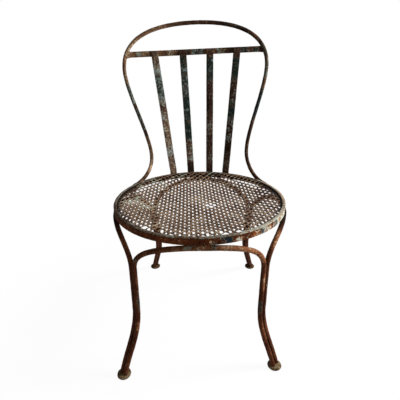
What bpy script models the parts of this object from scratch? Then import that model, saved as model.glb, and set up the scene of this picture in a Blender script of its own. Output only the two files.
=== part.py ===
"""Riveted iron garden chair with a round mesh seat, modelled piece by piece.

Units are metres and +Z is up. The chair faces -Y. The seat ring is built round
its own centre, and an empty places that centre so that the origin lies on the
floor in the middle of the whole chair.

The frame is bent from round rod: one balloon shaped loop for the back and four
arched hoops for the legs, two rods to a leg. Flat iron makes the seat band, the
cross rail and the four slats, and rivets hold the flat iron together.
"""
from math import asin, atan2, copysign, cos, pi, radians, sin, sqrt, tan

import bmesh
import bpy
from mathutils import Matrix, Vector

# Clearance left between pieces that touch on the real chair.
GAP = 0.0003
SHARP_ANGLE = radians(40)

# Seat ring: a half round rim lying on a band of flat iron set on edge.
SEAT_HEIGHT = 0.420
SEAT_RADIUS = 0.220
RIM_WIDTH = 0.0085
RIM_THICK = 0.0040
RIM_SHOULDER = 0.0018
RIM_CROWN_INSET = 0.0017
RIM_OVERHANG = 0.0004
BAND_HEIGHT = 0.0137
BAND_THICK = 0.0040
RING_SEGMENTS = 96

# Splice plate behind the butt joint of the band, a little right of the front.
SPLICE_TURN = radians(6.1)
SPLICE_LENGTH = 0.060
SPLICE_HEIGHT = 0.0090
SPLICE_THICK = 0.0025
SPLICE_RAISE = 0.0008
SPLICE_RIVET_SPACING = 0.041
SPLICE_STEPS = 6

# Seat pan: dished expanded metal with diamond openings.
PAN_THICK = 0.0015
PAN_DISH = 0.0145
PAN_DISH_POWER = 3.2
PAN_BORDER = 0.006
DIAMOND_WIDTH = 0.0310
DIAMOND_DEPTH = 0.0316
STRAND_WIDTH = 0.0060

# Round rod of the back loop and of the leg hoops.
LOOP_ROD_DIAMETER = 0.0115
HOOP_ROD_DIAMETER = 0.0122
ROD_SIDES = 10

# Leg hoops: arches that follow the ring in plan, then run down as legs. The
# four hoops sit a little turned under the round seat. On this old chair each
# leg stands in its own way, and some of them bow inwards.
LEG_TURN = radians(1.2)
ARCH_DROP = 0.0900
ARCH_FULLNESS = 2.08
FRONT_RIGHT_ARCH_FULLNESS = 2.14
FRONT_LEFT_ARCH_FULLNESS = 1.84
ARCH_STEPS = 22
LEG_STEPS = 14
RAKE_POWER = 1.5
FRONT_KNEE_HEIGHT = 0.188
REAR_KNEE_HEIGHT = 0.200
FRONT_LEFT_FOOT = (-0.1968, -0.1885)
FRONT_RIGHT_FOOT = (0.1950, -0.1585)
REAR_LEFT_FOOT = (-0.1885, 0.2960)
REAR_RIGHT_FOOT = (0.1850, 0.2960)
FRONT_RIGHT_BOW = 0.0020
REAR_LEFT_BOW = 0.0050
REAR_RIGHT_BOW = 0.0040
FOOT_RADIUS = 0.018
FOOT_BASE_RADIUS = 0.0155
FOOT_EDGE_LOW = 0.0027
FOOT_EDGE_HIGH = 0.0047
FOOT_SHOULDER_RADIUS = 0.0166
FOOT_SHOULDER_HEIGHT = 0.0072
FOOT_TOP_RADIUS = 0.0135
FOOT_HEIGHT = 0.0085
FOOT_SEGMENTS = 24

# Back: the loop, the cross rail and the slats lean back together. They have
# also settled a little towards the left, as on the old chair.
LEAN = radians(10.0)
SIDE_LEAN = radians(1.5)
BACK_OFFSET = 0.0058
LOOP_TOP_HEIGHT = 0.8599
LOOP_TOP_HANDLE = 0.1353
LOOP_WIDE_HALF = 0.2189
LOOP_WIDE_DROP = 0.1223
LOOP_WIDE_HANDLE_UP = 0.0845
LOOP_WIDE_HANDLE_DOWN = 0.0664
LOOP_WAIST_HALF = 0.1537
LOOP_WAIST_RISE = 0.0546
LOOP_WAIST_HANDLE = 0.0665
LOOP_STEPS = 14

# Tail of the loop: sweeps forward and flattens against the band.
TAIL_PULL_WAIST = 0.106
TAIL_PULL_RING = 0.149
TAIL_TURN = radians(57.0)
TAIL_DROP = 0.008
TAIL_SLOPE = 0.148
TAIL_STEPS = 14
TONGUE_THICK = 0.0040
TONGUE_HEIGHT = 0.0128
TONGUE_LENGTH = 0.050
TONGUE_FORGED_LENGTH = 0.031
TONGUE_SQUARENESS = 4.5
TONGUE_STEPS = 7
TONGUE_RIVET_BACK = 0.012

# Cross rail and slats.
RAIL_DROP = 0.0807
RAIL_HEIGHT = 0.0164
RAIL_THICK = 0.0040
RAIL_END_GAP = 0.0006
SLAT_WIDTH = 0.0213
SLAT_THICK = 0.0030
SLAT_TOPS_X = (-0.1213, -0.0357, 0.0458, 0.1274)
SLAT_FEET_X = (-0.0837, -0.0281, 0.0322, 0.0837)
SLAT_RAISE = 0.0015
SLAT_KNEE_RISE = 0.0060
SLAT_KNEE_LENGTH = 0.016
SLAT_KNEE_STEPS = 3
SLAT_STEPS = 8

# Rivets.
RIVET_SHANK_RADIUS = 0.0022
RIVET_HEAD_RADIUS = 0.0040
RIVET_SHOULDER_RADIUS = 0.0037
RIVET_SHOULDER_HEIGHT = 0.0010
RIVET_CROWN_RADIUS = 0.0022
RIVET_HEAD_HEIGHT = 0.0020
RIVET_SEGMENTS = 8
RIVET_RAISE = 0.0065
SPLICE_RIVET_RAISE = 0.0053
DRILL_OVERRUN = 0.0009

# Sizes that follow from those above.
LOOP_ROD = LOOP_ROD_DIAMETER / 2
HOOP_ROD = HOOP_ROD_DIAMETER / 2
RIM_BOTTOM = SEAT_HEIGHT - RIM_THICK
BAND_TOP = RIM_BOTTOM - GAP
BAND_BOTTOM = BAND_TOP - BAND_HEIGHT
BAND_OUTER = SEAT_RADIUS - RIM_OVERHANG
BAND_INNER = BAND_OUTER - BAND_THICK
PAN_RADIUS = BAND_INNER - GAP
HOOP_RADIUS = (BAND_OUTER + BAND_INNER) / 2
HOOP_TOP = BAND_BOTTOM - GAP - HOOP_ROD
LEG_TOP = HOOP_TOP - ARCH_DROP
LEG_FOOT = FOOT_HEIGHT + GAP
ROD_PAIR_HALF = HOOP_ROD + GAP / 2
BACK_PLANE_Y = SEAT_RADIUS + BACK_OFFSET
LOOP_WIDE_HEIGHT = LOOP_TOP_HEIGHT - LOOP_WIDE_DROP
LOOP_WAIST_HEIGHT = SEAT_HEIGHT + LOOP_WAIST_RISE
TAIL_HEIGHT = SEAT_HEIGHT - TAIL_DROP
RAIL_CENTRE_HEIGHT = LOOP_TOP_HEIGHT - RAIL_DROP
REAR_REACH = REAR_LEFT_FOOT[1] * cos(LEG_TURN) - REAR_LEFT_FOOT[0] * sin(LEG_TURN) + FOOT_RADIUS
FRONT_REACH = HOOP_RADIUS + HOOP_ROD * cos(pi / ROD_SIDES)
SEAT_CENTRE_Y = (FRONT_REACH - REAR_REACH) / 2
LEFT_REACH = LOOP_WIDE_HALF + (LOOP_WIDE_HEIGHT - SEAT_HEIGHT) * tan(SIDE_LEAN) + LOOP_ROD
SEAT_CENTRE_X = (LEFT_REACH - FRONT_REACH) / 2

# Of each leg: its direction from the middle, its foot, its knee and its bow.
LEGS = {
    "front_left": (-1, -1, FRONT_LEFT_FOOT, FRONT_KNEE_HEIGHT, 0),
    "front_right": (1, -1, FRONT_RIGHT_FOOT, FRONT_KNEE_HEIGHT, FRONT_RIGHT_BOW),
    "rear_left": (-1, 1, REAR_LEFT_FOOT, REAR_KNEE_HEIGHT, REAR_LEFT_BOW),
    "rear_right": (1, 1, REAR_RIGHT_FOOT, REAR_KNEE_HEIGHT, REAR_RIGHT_BOW),
}

RUST = (0.150, 0.062, 0.034, 1.0)
DARK_RUST = (0.105, 0.050, 0.034, 1.0)
OLD_PAINT = (0.120, 0.125, 0.100, 1.0)
BARE_RUST = (0.190, 0.110, 0.070, 1.0)
FOOT_MUD = (0.200, 0.155, 0.095, 1.0)


def clear_scene():
    """Remove every object of the open file."""
    for obj in list(bpy.data.objects):
        bpy.data.objects.remove(obj, do_unlink=True)


def iron(name, colour, roughness, metallic):
    """Material with one Principled shader."""
    material = bpy.data.materials.new(name)
    material.use_nodes = True
    shader = material.node_tree.nodes["Principled BSDF"]
    shader.inputs["Base Color"].default_value = colour
    shader.inputs["Roughness"].default_value = roughness
    shader.inputs["Metallic"].default_value = metallic
    material.diffuse_color = colour
    return material


def add_object(name, mesh_data, centre, colour, roughness=0.8, metallic=0.3):
    """Turn a bmesh into a named object under the chair's centre."""
    bmesh.ops.recalc_face_normals(mesh_data, faces=mesh_data.faces)
    mesh = bpy.data.meshes.new(name)
    mesh_data.to_mesh(mesh)
    mesh_data.free()
    mesh.shade_smooth()
    mesh.set_sharp_from_angle(angle=SHARP_ANGLE)
    mesh.materials.append(iron(name + "_finish", colour, roughness, metallic))
    obj = bpy.data.objects.new(name, mesh)
    obj.parent = centre
    bpy.context.scene.collection.objects.link(obj)
    return obj


def skin(rings, closed=False):
    """Closed skin over a row of vertex rings, with caps unless it runs round."""
    data = bmesh.new()
    loops = [[data.verts.new(point) for point in ring] for ring in rings]
    pairs = list(zip(loops, loops[1:]))
    if closed:
        pairs.append((loops[-1], loops[0]))
    for low, high in pairs:
        for k in range(len(low)):
            after = (k + 1) % len(low)
            data.faces.new((low[k], low[after], high[after], high[k]))
    if not closed:
        data.faces.new(list(reversed(loops[0])))
        data.faces.new(loops[-1])
    return data


def tangents(points):
    """Unit direction of a path at each of its points."""
    last = len(points) - 1
    ahead = [points[min(i + 1, last)] - points[max(i - 1, 0)] for i in range(len(points))]
    return [step.normalized() for step in ahead]


def across(direction, guide):
    """The part of a guide direction that lies square to a path."""
    return (guide - direction * guide.dot(direction)).normalized()


def section(centre, side, up, half_thick, half_height, squareness=2.0):
    """Ring of points: round at squareness 2, nearly a rectangle above 4."""
    ring = []
    for k in range(ROD_SIDES):
        angle = 2 * pi * (k + 0.5) / ROD_SIDES
        a = copysign(abs(cos(angle)) ** (2 / squareness), cos(angle))
        b = copysign(abs(sin(angle)) ** (2 / squareness), sin(angle))
        ring.append(centre + side * (half_thick * a) + up * (half_height * b))
    return ring


def bezier(start, handle_a, handle_b, end, steps):
    """Points of a cubic curve, with both its ends."""
    points = []
    for i in range(steps + 1):
        t = i / steps
        u = 1 - t
        inner = handle_a * (3 * u * u * t) + handle_b * (3 * u * t * t)
        points.append(start * u ** 3 + inner + end * t ** 3)
    return points


def around(radius, turn, height=0.0):
    """Point at a turn from the back of the seat, towards +X."""
    return Vector((radius * sin(turn), radius * cos(turn), height))


def in_back(x, height):
    """Point of the back's plane, which leans backwards and a little sideways."""
    rise = height - SEAT_HEIGHT
    aside = tan(SIDE_LEAN)
    return Vector((x - rise * aside, BACK_PLANE_Y + rise * tan(LEAN), height + x * aside))


def turned_ring(name, profile, centre, colour, **finish):
    """Solid of revolution about the seat's axis, from (radius, height) points."""
    rings = []
    for k in range(RING_SEGMENTS):
        turn = 2 * pi * k / RING_SEGMENTS
        rings.append([around(radius, turn, height) for radius, height in profile])
    return add_object(name, skin(rings, closed=True), centre, colour, **finish)


def arc_bar(inner, outer, bottom, top, start, end, steps):
    """Skin of a flat bar bent round the seat's axis between two turns."""
    rings = []
    for k in range(steps + 1):
        turn = start + (end - start) * k / steps
        corners = ((inner, bottom), (outer, bottom), (outer, top), (inner, top))
        rings.append([around(radius, turn, height) for radius, height in corners])
    return skin(rings)


def make_rim(centre):
    """Half round iron hoop that forms the seat's upper edge."""
    outer, inner = SEAT_RADIUS, SEAT_RADIUS - RIM_WIDTH
    shoulder = RIM_BOTTOM + RIM_SHOULDER
    profile = ((outer, RIM_BOTTOM), (outer, shoulder), (outer - RIM_CROWN_INSET, SEAT_HEIGHT),
               (inner + RIM_CROWN_INSET, SEAT_HEIGHT), (inner, shoulder), (inner, RIM_BOTTOM))
    turned_ring("seat_rim", profile, centre, OLD_PAINT)


def make_band(centre, holes):
    """Flat iron band on edge, its two ends meeting at the splice plate."""
    joint = pi - SPLICE_TURN
    half_slit = GAP / 2 / BAND_OUTER
    data = arc_bar(BAND_INNER, BAND_OUTER, BAND_BOTTOM, BAND_TOP,
                   joint + half_slit, joint + 2 * pi - half_slit, RING_SEGMENTS)
    band = add_object("seat_band", data, centre, RUST)
    drill(band, holes)


def make_splice(centre, holes):
    """Plate inside the band that bridges its butt joint."""
    joint = pi - SPLICE_TURN
    outer = BAND_INNER - GAP
    half = SPLICE_LENGTH / 2 / outer
    bottom = BAND_BOTTOM + SPLICE_RAISE
    data = arc_bar(outer - SPLICE_THICK, outer, bottom, bottom + SPLICE_HEIGHT,
                   joint - half, joint + half, SPLICE_STEPS)
    drill(add_object("band_splice", data, centre, DARK_RUST), holes)


def pan_drop(radius):
    """How far the dished pan lies below its edge."""
    return PAN_DISH * (1 - (radius / PAN_RADIUS) ** PAN_DISH_POWER)


def make_pan(centre):
    """Dished sheet with a diamond opening at every second crossing of a grid."""
    data = bmesh.new()
    outline = [around(PAN_RADIUS, 2 * pi * k / RING_SEGMENTS) for k in range(RING_SEGMENTS)]
    loops = [outline]
    half_width = (DIAMOND_WIDTH - STRAND_WIDTH * DIAMOND_WIDTH / DIAMOND_DEPTH) / 2
    half_depth = half_width * DIAMOND_DEPTH / DIAMOND_WIDTH
    reach = int(2 * PAN_RADIUS / DIAMOND_DEPTH) + 1
    for column in range(-reach, reach + 1):
        for row in range(-reach, reach + 1):
            if (column + row) % 2:
                continue
            x, y = column * DIAMOND_WIDTH / 2, row * DIAMOND_DEPTH / 2
            if sqrt(x * x + y * y) + half_depth > PAN_RADIUS - PAN_BORDER:
                continue
            loops.append([Vector((x + half_width, y, 0)), Vector((x, y + half_depth, 0)),
                          Vector((x - half_width, y, 0)), Vector((x, y - half_depth, 0))])
    edges = []
    for loop in loops:
        verts = [data.verts.new(point) for point in loop]
        edges += [data.edges.new((a, b)) for a, b in zip(verts, verts[1:] + verts[:1])]
    bmesh.ops.triangle_fill(data, edges=edges, use_beauty=True, normal=(0, 0, 1))
    for vert in data.verts:
        vert.co.z = BAND_TOP - pan_drop(sqrt(vert.co.x ** 2 + vert.co.y ** 2))
    sheet = list(data.faces)
    lower = bmesh.ops.extrude_face_region(data, geom=sheet, use_keep_orig=True)
    for item in lower["geom"]:
        if isinstance(item, bmesh.types.BMVert):
            item.co.z -= PAN_THICK
    add_object("seat_pan", data, centre, BARE_RUST)


def leg_centre(leg, height):
    """Line midway between the two rods of a leg."""
    side, depth, foot, knee, bow = LEGS[leg]
    pair_radius = sqrt(HOOP_RADIUS ** 2 - ROD_PAIR_HALF ** 2)
    corner = Vector((side, depth, 0)) * (pair_radius / sqrt(2))
    below_knee = max(0.0, (knee - height) / (knee - LEG_FOOT))
    splay = below_knee ** 2 * (2 - below_knee)
    drop = (LEG_TOP - height) / (LEG_TOP - LEG_FOOT)
    x = corner.x + (foot[0] - corner.x) * splay - side * bow * sin(pi * drop)
    return Vector((x, corner.y + (foot[1] - corner.y) * drop ** RAKE_POWER, height))


def leg_rod(leg, partner):
    """Centre line of one rod of a leg from top to foot.

    partner is the unit direction, square to the ring's radius, from the middle
    of the leg towards this rod.
    """
    side, depth = LEGS[leg][:2]
    heights = [LEG_TOP + (LEG_FOOT - LEG_TOP) * i / LEG_STEPS for i in range(LEG_STEPS + 1)]
    middle = [leg_centre(leg, height) for height in heights]
    outward = Vector((side, depth, 0)).normalized()
    rod = []
    for point, direction in zip(middle, tangents(middle)):
        offset = outward.cross(direction).normalized()
        if offset.dot(partner) < 0:
            offset.negate()
        rod.append(point + offset * ROD_PAIR_HALF)
    return rod


def arch(turn, shoulders):
    """Arched top of a hoop whose middle lies at a turn from the back.

    shoulders says how square its first and its last shoulder are.
    """
    half_turn = pi / 4 - asin(ROD_PAIR_HALF / HOOP_RADIUS)
    points = []
    for k in range(ARCH_STEPS + 1):
        angle = pi * (k / ARCH_STEPS - 0.5)
        fullness = shoulders[0] if angle < 0 else shoulders[1]
        along = copysign(abs(sin(angle)) ** (2 / fullness), angle) * half_turn
        rise = abs(cos(angle)) ** (2 / fullness) * ARCH_DROP
        points.append(around(HOOP_RADIUS, turn + along, LEG_TOP + rise))
    return points


def cut_level(ring, direction, height):
    """Slide the points of a ring along the rod until all lie at one height."""
    return [point + direction * ((height - point.z) / direction.z) for point in ring]


def make_hoop(name, turn, shoulders, legs, centre):
    """One leg hoop: leg rod, arch and leg rod, bent from a single round bar.

    shoulders and legs are in the order in which the arch meets them.
    """
    top = arch(turn, shoulders)
    tangent = around(1, turn + pi / 2)
    first = leg_rod(legs[0], tangent)
    last = leg_rod(legs[1], -tangent)
    path = list(reversed(first)) + top[1:-1] + last
    rings = []
    for point, direction in zip(path, tangents(path)):
        outward = across(direction, Vector((point.x, point.y, 0)).normalized())
        rings.append(section(point, outward, direction.cross(outward), HOOP_ROD, HOOP_ROD))
    ends = tangents(path)
    rings[0] = cut_level(rings[0], ends[0], LEG_FOOT)
    rings[-1] = cut_level(rings[-1], ends[-1], LEG_FOOT)
    add_object(name, skin(rings), centre, RUST)


def make_foot(leg, centre):
    """Domed round disc under the two rods of a leg."""
    profile = ((FOOT_BASE_RADIUS, 0), (FOOT_RADIUS, FOOT_EDGE_LOW), (FOOT_RADIUS, FOOT_EDGE_HIGH),
               (FOOT_SHOULDER_RADIUS, FOOT_SHOULDER_HEIGHT), (FOOT_TOP_RADIUS, FOOT_HEIGHT))
    rings = []
    for radius, height in profile:
        rings.append([around(radius, 2 * pi * k / FOOT_SEGMENTS, height) for k in range(FOOT_SEGMENTS)])
    foot = add_object(leg + "_foot", skin(rings), centre, FOOT_MUD, roughness=0.9, metallic=0.1)
    foot.location = (*LEGS[leg][2], 0)


def loop_side():
    """Half of the loop's centre line, waist to top, as half width and height."""
    waist = Vector((LOOP_WAIST_HALF, LOOP_WAIST_HEIGHT))
    wide = Vector((LOOP_WIDE_HALF, LOOP_WIDE_HEIGHT))
    top = Vector((0, LOOP_TOP_HEIGHT))
    lower = bezier(waist, waist + Vector((0, LOOP_WAIST_HANDLE)),
                   wide - Vector((0, LOOP_WIDE_HANDLE_DOWN)), wide, LOOP_STEPS)
    upper = bezier(wide, wide + Vector((0, LOOP_WIDE_HANDLE_UP)),
                   top + Vector((LOOP_TOP_HANDLE, 0)), top, LOOP_STEPS)
    return lower + upper[1:]


def loop_tail(side):
    """Path of the loop from its waist forward to the outside of the band."""
    waist = in_back(side * LOOP_WAIST_HALF, LOOP_WAIST_HEIGHT)
    leave = Vector((sin(SIDE_LEAN), -sin(LEAN), -cos(LEAN))) * TAIL_PULL_WAIST
    ring = around(SEAT_RADIUS + GAP + LOOP_ROD, side * TAIL_TURN, TAIL_HEIGHT)
    arrive = Vector((side * cos(TAIL_TURN), -sin(TAIL_TURN), -TAIL_SLOPE)).normalized() * TAIL_PULL_RING
    return bezier(waist, waist + leave / 3, ring - arrive / 3, ring, TAIL_STEPS)


def rivet_line():
    """Height of the rivets through the seat band."""
    return BAND_BOTTOM + RIVET_RAISE


def tongue_turn(length):
    """Turn from the back at a length along the flattened tongue."""
    return TAIL_TURN + length / BAND_OUTER


def loop_tongue(side):
    """Flattened end of the loop as points of its centre line and section sizes."""
    points, sizes = [], []
    for k in range(1, TONGUE_STEPS + 1):
        length = TONGUE_LENGTH * k / TONGUE_STEPS
        share = min(1.0, length / TONGUE_FORGED_LENGTH)
        ease = share * share * (3 - 2 * share)
        half_thick = LOOP_ROD + (TONGUE_THICK / 2 - LOOP_ROD) * ease
        half_height = LOOP_ROD + (TONGUE_HEIGHT / 2 - LOOP_ROD) * ease
        height = TAIL_HEIGHT + (rivet_line() - TAIL_HEIGHT) * ease
        clear_radius = SEAT_RADIUS + (BAND_OUTER - SEAT_RADIUS) * ease
        points.append(around(clear_radius + GAP + half_thick, side * tongue_turn(length), height))
        sizes.append((half_thick, half_height, 2 + (TONGUE_SQUARENESS - 2) * ease))
    return points, sizes


def make_loop(centre, holes):
    """Back loop: one bent rod whose ends are forged flat against the band."""
    right_tongue, tongue_sizes = loop_tongue(1)
    left_tongue, _ = loop_tongue(-1)
    right_side = [in_back(p.x, p.y) for p in loop_side()[1:]]
    left_side = [in_back(-p.x, p.y) for p in loop_side()[1:-1]]
    bent = list(reversed(loop_tail(1))) + right_side + list(reversed(left_side)) + loop_tail(-1)
    path = list(reversed(right_tongue)) + bent + left_tongue
    sizes = list(reversed(tongue_sizes)) + [(LOOP_ROD, LOOP_ROD)] * len(bent) + tongue_sizes
    rings = []
    for point, direction, size in zip(path, tangents(path), sizes):
        inward = across(direction, -Vector((point.x, point.y, 0)).normalized())
        rings.append(section(point, inward, direction.cross(inward), *size))
    drill(add_object("back_loop", skin(rings), centre, DARK_RUST), holes)


def loop_half_width(height):
    """Half width of the loop's centre line at a height above its widest place."""
    side = [point for point in loop_side() if point.y >= LOOP_WIDE_HEIGHT]
    for low, high in zip(side, side[1:]):
        if low.y <= height <= high.y:
            return low.x + (high.x - low.x) * (height - low.y) / (high.y - low.y)
    return side[-1].x


def make_rail(centre, holes):
    """Flat cross rail, its ends cut to the slope of the loop."""
    low, high = RAIL_CENTRE_HEIGHT - RAIL_HEIGHT / 2, RAIL_CENTRE_HEIGHT + RAIL_HEIGHT / 2
    half_low, half_high = loop_half_width(low), loop_half_width(high)
    slope = atan2(half_low - half_high, high - low)
    inset = (LOOP_ROD + RAIL_END_GAP) / cos(slope)
    outline = [in_back(half_low - inset, low), in_back(half_high - inset, high),
               in_back(inset - half_high, high), in_back(inset - half_low, low)]
    forward = Vector((0, -cos(LEAN), sin(LEAN))) * (RAIL_THICK / 2)
    rings = [[point + forward for point in outline], [point - forward for point in outline]]
    drill(add_object("cross_rail", skin(rings), centre, DARK_RUST), holes)


def slat_reach():
    """Distance in front of the back's plane at which the slats' middle lies."""
    return RAIL_THICK / 2 + GAP + SLAT_THICK / 2


def slat_path(foot_x, top_x):
    """Centre line of a slat from the band to the top of the rail."""
    radius = SEAT_RADIUS + GAP + SLAT_THICK / 2
    turn = asin(foot_x / radius)
    foot = around(radius, turn, BAND_BOTTOM + SLAT_RAISE)
    bend = around(radius, turn, SEAT_HEIGHT + SLAT_KNEE_RISE)
    forward = Vector((0, -cos(LEAN), sin(LEAN))) * slat_reach()
    top = in_back(top_x, RAIL_CENTRE_HEIGHT + RAIL_HEIGHT / 2) + forward
    below = in_back(top_x, RAIL_CENTRE_HEIGHT - RAIL_HEIGHT / 2) + forward
    lean = (below - bend).normalized()
    after = bend + lean * SLAT_KNEE_LENGTH
    points = [foot] + bezier(bend, bend + Vector((0, 0, SLAT_KNEE_LENGTH / 2)),
                             after - lean * SLAT_KNEE_LENGTH / 2, after, SLAT_KNEE_STEPS)
    for k in range(1, SLAT_STEPS + 1):
        points.append(after.lerp(below, k / SLAT_STEPS))
    return points + [top], turn


def make_slat(name, foot_x, top_x, centre, holes):
    """Flat slat that twists from the round band to the straight rail."""
    points, turn = slat_path(foot_x, top_x)
    length = points[-2].z - points[1].z
    rings = []
    for point, direction in zip(points, tangents(points)):
        share = min(1.0, max(0.0, (point.z - points[1].z) / length))
        facing = turn * (1 - share)
        wide = across(direction, Vector((cos(facing), -sin(facing), 0)))
        thin = direction.cross(wide)
        half_w, half_t = wide * (SLAT_WIDTH / 2), thin * (SLAT_THICK / 2)
        rings.append([point - half_w - half_t, point + half_w - half_t,
                      point + half_w + half_t, point - half_w + half_t])
    drill(add_object(name, skin(rings), centre, DARK_RUST), holes)


def rivet_mesh(grip):
    """Rivet along its own Z, centred, with a domed head at each end."""
    seat = grip / 2 + GAP
    upper = ((RIVET_SHANK_RADIUS, seat), (RIVET_HEAD_RADIUS, seat),
             (RIVET_SHOULDER_RADIUS, seat + RIVET_SHOULDER_HEIGHT),
             (RIVET_CROWN_RADIUS, seat + RIVET_HEAD_HEIGHT))
    profile = [(radius, -height) for radius, height in reversed(upper)] + list(upper)
    rings = []
    for radius, height in profile:
        rings.append([around(radius, 2 * pi * k / RIVET_SEGMENTS, height) for k in range(RIVET_SEGMENTS)])
    return skin(rings)


def aimed(point, direction):
    """Placement whose Z axis runs along a direction."""
    return Matrix.Translation(point) @ direction.to_track_quat("Z", "Y").to_matrix().to_4x4()


def band_rivet(turn, outer_face, inner_face, height):
    """Place and grip of a rivet that runs through the band."""
    place = aimed(around((outer_face + inner_face) / 2, turn, height), around(1, turn))
    return place, outer_face - inner_face


def rivet_list():
    """Every rivet of the chair as name, placement and grip."""
    rivets = []
    slat_outer = SEAT_RADIUS + GAP + SLAT_THICK
    lean_axis = Vector((0, -cos(LEAN), sin(LEAN)))
    for label, foot_x, top_x in slats():
        turn = asin(foot_x / (slat_outer - SLAT_THICK / 2))
        place, grip = band_rivet(turn, slat_outer, BAND_INNER, rivet_line())
        rivets.append((label + "_band_rivet", place, grip))
        grip = SLAT_THICK + GAP + RAIL_THICK
        middle = in_back(slat_x_at_rail(foot_x, top_x), RAIL_CENTRE_HEIGHT)
        middle += lean_axis * (grip / 2 - RAIL_THICK / 2)
        rivets.append((label + "_rail_rivet", aimed(middle, lean_axis), grip))
    for side, label in ((-1, "left"), (1, "right")):
        turn = side * tongue_turn(TONGUE_LENGTH - TONGUE_RIVET_BACK)
        place, grip = band_rivet(turn, BAND_OUTER + GAP + TONGUE_THICK, BAND_INNER, rivet_line())
        rivets.append((label + "_tail_rivet", place, grip))
        turn = pi - SPLICE_TURN + side * SPLICE_RIVET_SPACING / 2 / BAND_OUTER
        inner = BAND_INNER - GAP - SPLICE_THICK
        place, grip = band_rivet(turn, BAND_OUTER, inner, BAND_BOTTOM + SPLICE_RIVET_RAISE)
        rivets.append(("splice_" + ("right" if side < 0 else "left") + "_rivet", place, grip))
    return rivets


def slats():
    """Label, foot place and top place of each slat, from left to right."""
    labels = ("slat_1", "slat_2", "slat_3", "slat_4")
    return list(zip(labels, SLAT_FEET_X, SLAT_TOPS_X))


def slat_x_at_rail(foot_x, top_x):
    """Sideways place of a slat's middle where the rail crosses it."""
    points, _ = slat_path(foot_x, top_x)
    return (points[-1].x + points[-2].x) / 2


def make_holes(rivets, centre):
    """Cutter with one drill for every rivet."""
    data = bmesh.new()
    for _, place, grip in rivets:
        bmesh.ops.create_cone(data, cap_ends=True, segments=RIVET_SEGMENTS, matrix=place,
                              depth=grip + 2 * DRILL_OVERRUN,
                              radius1=RIVET_SHANK_RADIUS + GAP, radius2=RIVET_SHANK_RADIUS + GAP)
    cutter = add_object("rivet_holes", data, centre, DARK_RUST)
    cutter.hide_render = True
    cutter.display_type = "WIRE"
    return cutter


def drill(obj, cutter):
    """Cut the rivet holes out of a piece."""
    cut = obj.modifiers.new("rivet holes", "BOOLEAN")
    cut.operation = "DIFFERENCE"
    cut.solver = "EXACT"
    cut.object = cutter


def build():
    """Model the whole chair."""
    clear_scene()
    centre = bpy.data.objects.new("seat_centre", None)
    centre.location = (SEAT_CENTRE_X, SEAT_CENTRE_Y, 0)
    bpy.context.scene.collection.objects.link(centre)
    rivets = rivet_list()
    holes = make_holes(rivets, centre)

    make_rim(centre)
    make_band(centre, holes)
    make_splice(centre, holes)
    make_pan(centre)

    legs = bpy.data.objects.new("leg_frame", None)
    legs.rotation_euler.z = -LEG_TURN
    legs.parent = centre
    bpy.context.scene.collection.objects.link(legs)
    even = (ARCH_FULLNESS, ARCH_FULLNESS)
    uneven = (FRONT_RIGHT_ARCH_FULLNESS, FRONT_LEFT_ARCH_FULLNESS)
    make_hoop("rear_leg_hoop", 0, even, ("rear_left", "rear_right"), legs)
    make_hoop("right_leg_hoop", pi / 2, even, ("rear_right", "front_right"), legs)
    make_hoop("front_leg_hoop", pi, uneven, ("front_right", "front_left"), legs)
    make_hoop("left_leg_hoop", -pi / 2, even, ("front_left", "rear_left"), legs)
    for leg in LEGS:
        make_foot(leg, legs)

    make_loop(centre, holes)
    make_rail(centre, holes)
    for label, foot_x, top_x in slats():
        make_slat(label, foot_x, top_x, centre, holes)
    for label, place, grip in rivets:
        rivet = add_object(label, rivet_mesh(grip), centre, DARK_RUST)
        rivet.matrix_local = place


build()
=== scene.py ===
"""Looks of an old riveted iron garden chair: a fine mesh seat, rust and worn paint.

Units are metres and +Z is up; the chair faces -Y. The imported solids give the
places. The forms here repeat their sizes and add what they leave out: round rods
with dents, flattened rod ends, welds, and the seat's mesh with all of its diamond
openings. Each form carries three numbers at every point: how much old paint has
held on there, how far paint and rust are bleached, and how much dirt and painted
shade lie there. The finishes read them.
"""

import logging
from dataclasses import dataclass, field
from enum import Enum
from functools import cached_property
from math import asin, atan2, ceil, copysign, cos, hypot, pi, radians, sin, sqrt, tan
from typing import Any, Callable, Iterable, Sequence

import bmesh
import bpy
import numpy as np
from mathutils import Matrix, Vector, noise


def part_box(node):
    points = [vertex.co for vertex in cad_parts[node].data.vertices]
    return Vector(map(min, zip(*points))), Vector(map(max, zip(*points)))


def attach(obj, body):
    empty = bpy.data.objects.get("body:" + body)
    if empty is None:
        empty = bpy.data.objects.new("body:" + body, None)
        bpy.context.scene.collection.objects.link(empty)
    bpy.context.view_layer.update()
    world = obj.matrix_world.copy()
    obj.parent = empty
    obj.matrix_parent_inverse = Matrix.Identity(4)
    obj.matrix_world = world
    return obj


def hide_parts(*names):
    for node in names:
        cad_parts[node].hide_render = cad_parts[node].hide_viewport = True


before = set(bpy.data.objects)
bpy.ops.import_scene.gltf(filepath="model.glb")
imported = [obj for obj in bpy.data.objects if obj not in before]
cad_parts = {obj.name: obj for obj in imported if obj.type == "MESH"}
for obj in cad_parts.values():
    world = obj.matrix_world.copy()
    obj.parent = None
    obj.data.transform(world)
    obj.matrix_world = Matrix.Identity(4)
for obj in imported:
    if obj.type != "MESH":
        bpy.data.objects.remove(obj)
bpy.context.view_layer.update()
LOG = logging.getLogger("garden_chair")

Points = list[Vector]
Rows = tuple[tuple[float, ...], ...]
Triple = tuple[float, float, float]
Swatch = tuple[int, int, int]
Colour = tuple[float, float, float, float]
Number = float | int

AXIS_X, AXIS_Y, AXIS_Z = Vector((1, 0, 0)), Vector((0, 1, 0)), Vector((0, 0, 1))
WHITE: Colour = (1.0, 1.0, 1.0, 1.0)
PALE: Colour = (0.80, 0.80, 0.80, 1.0)


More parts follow.
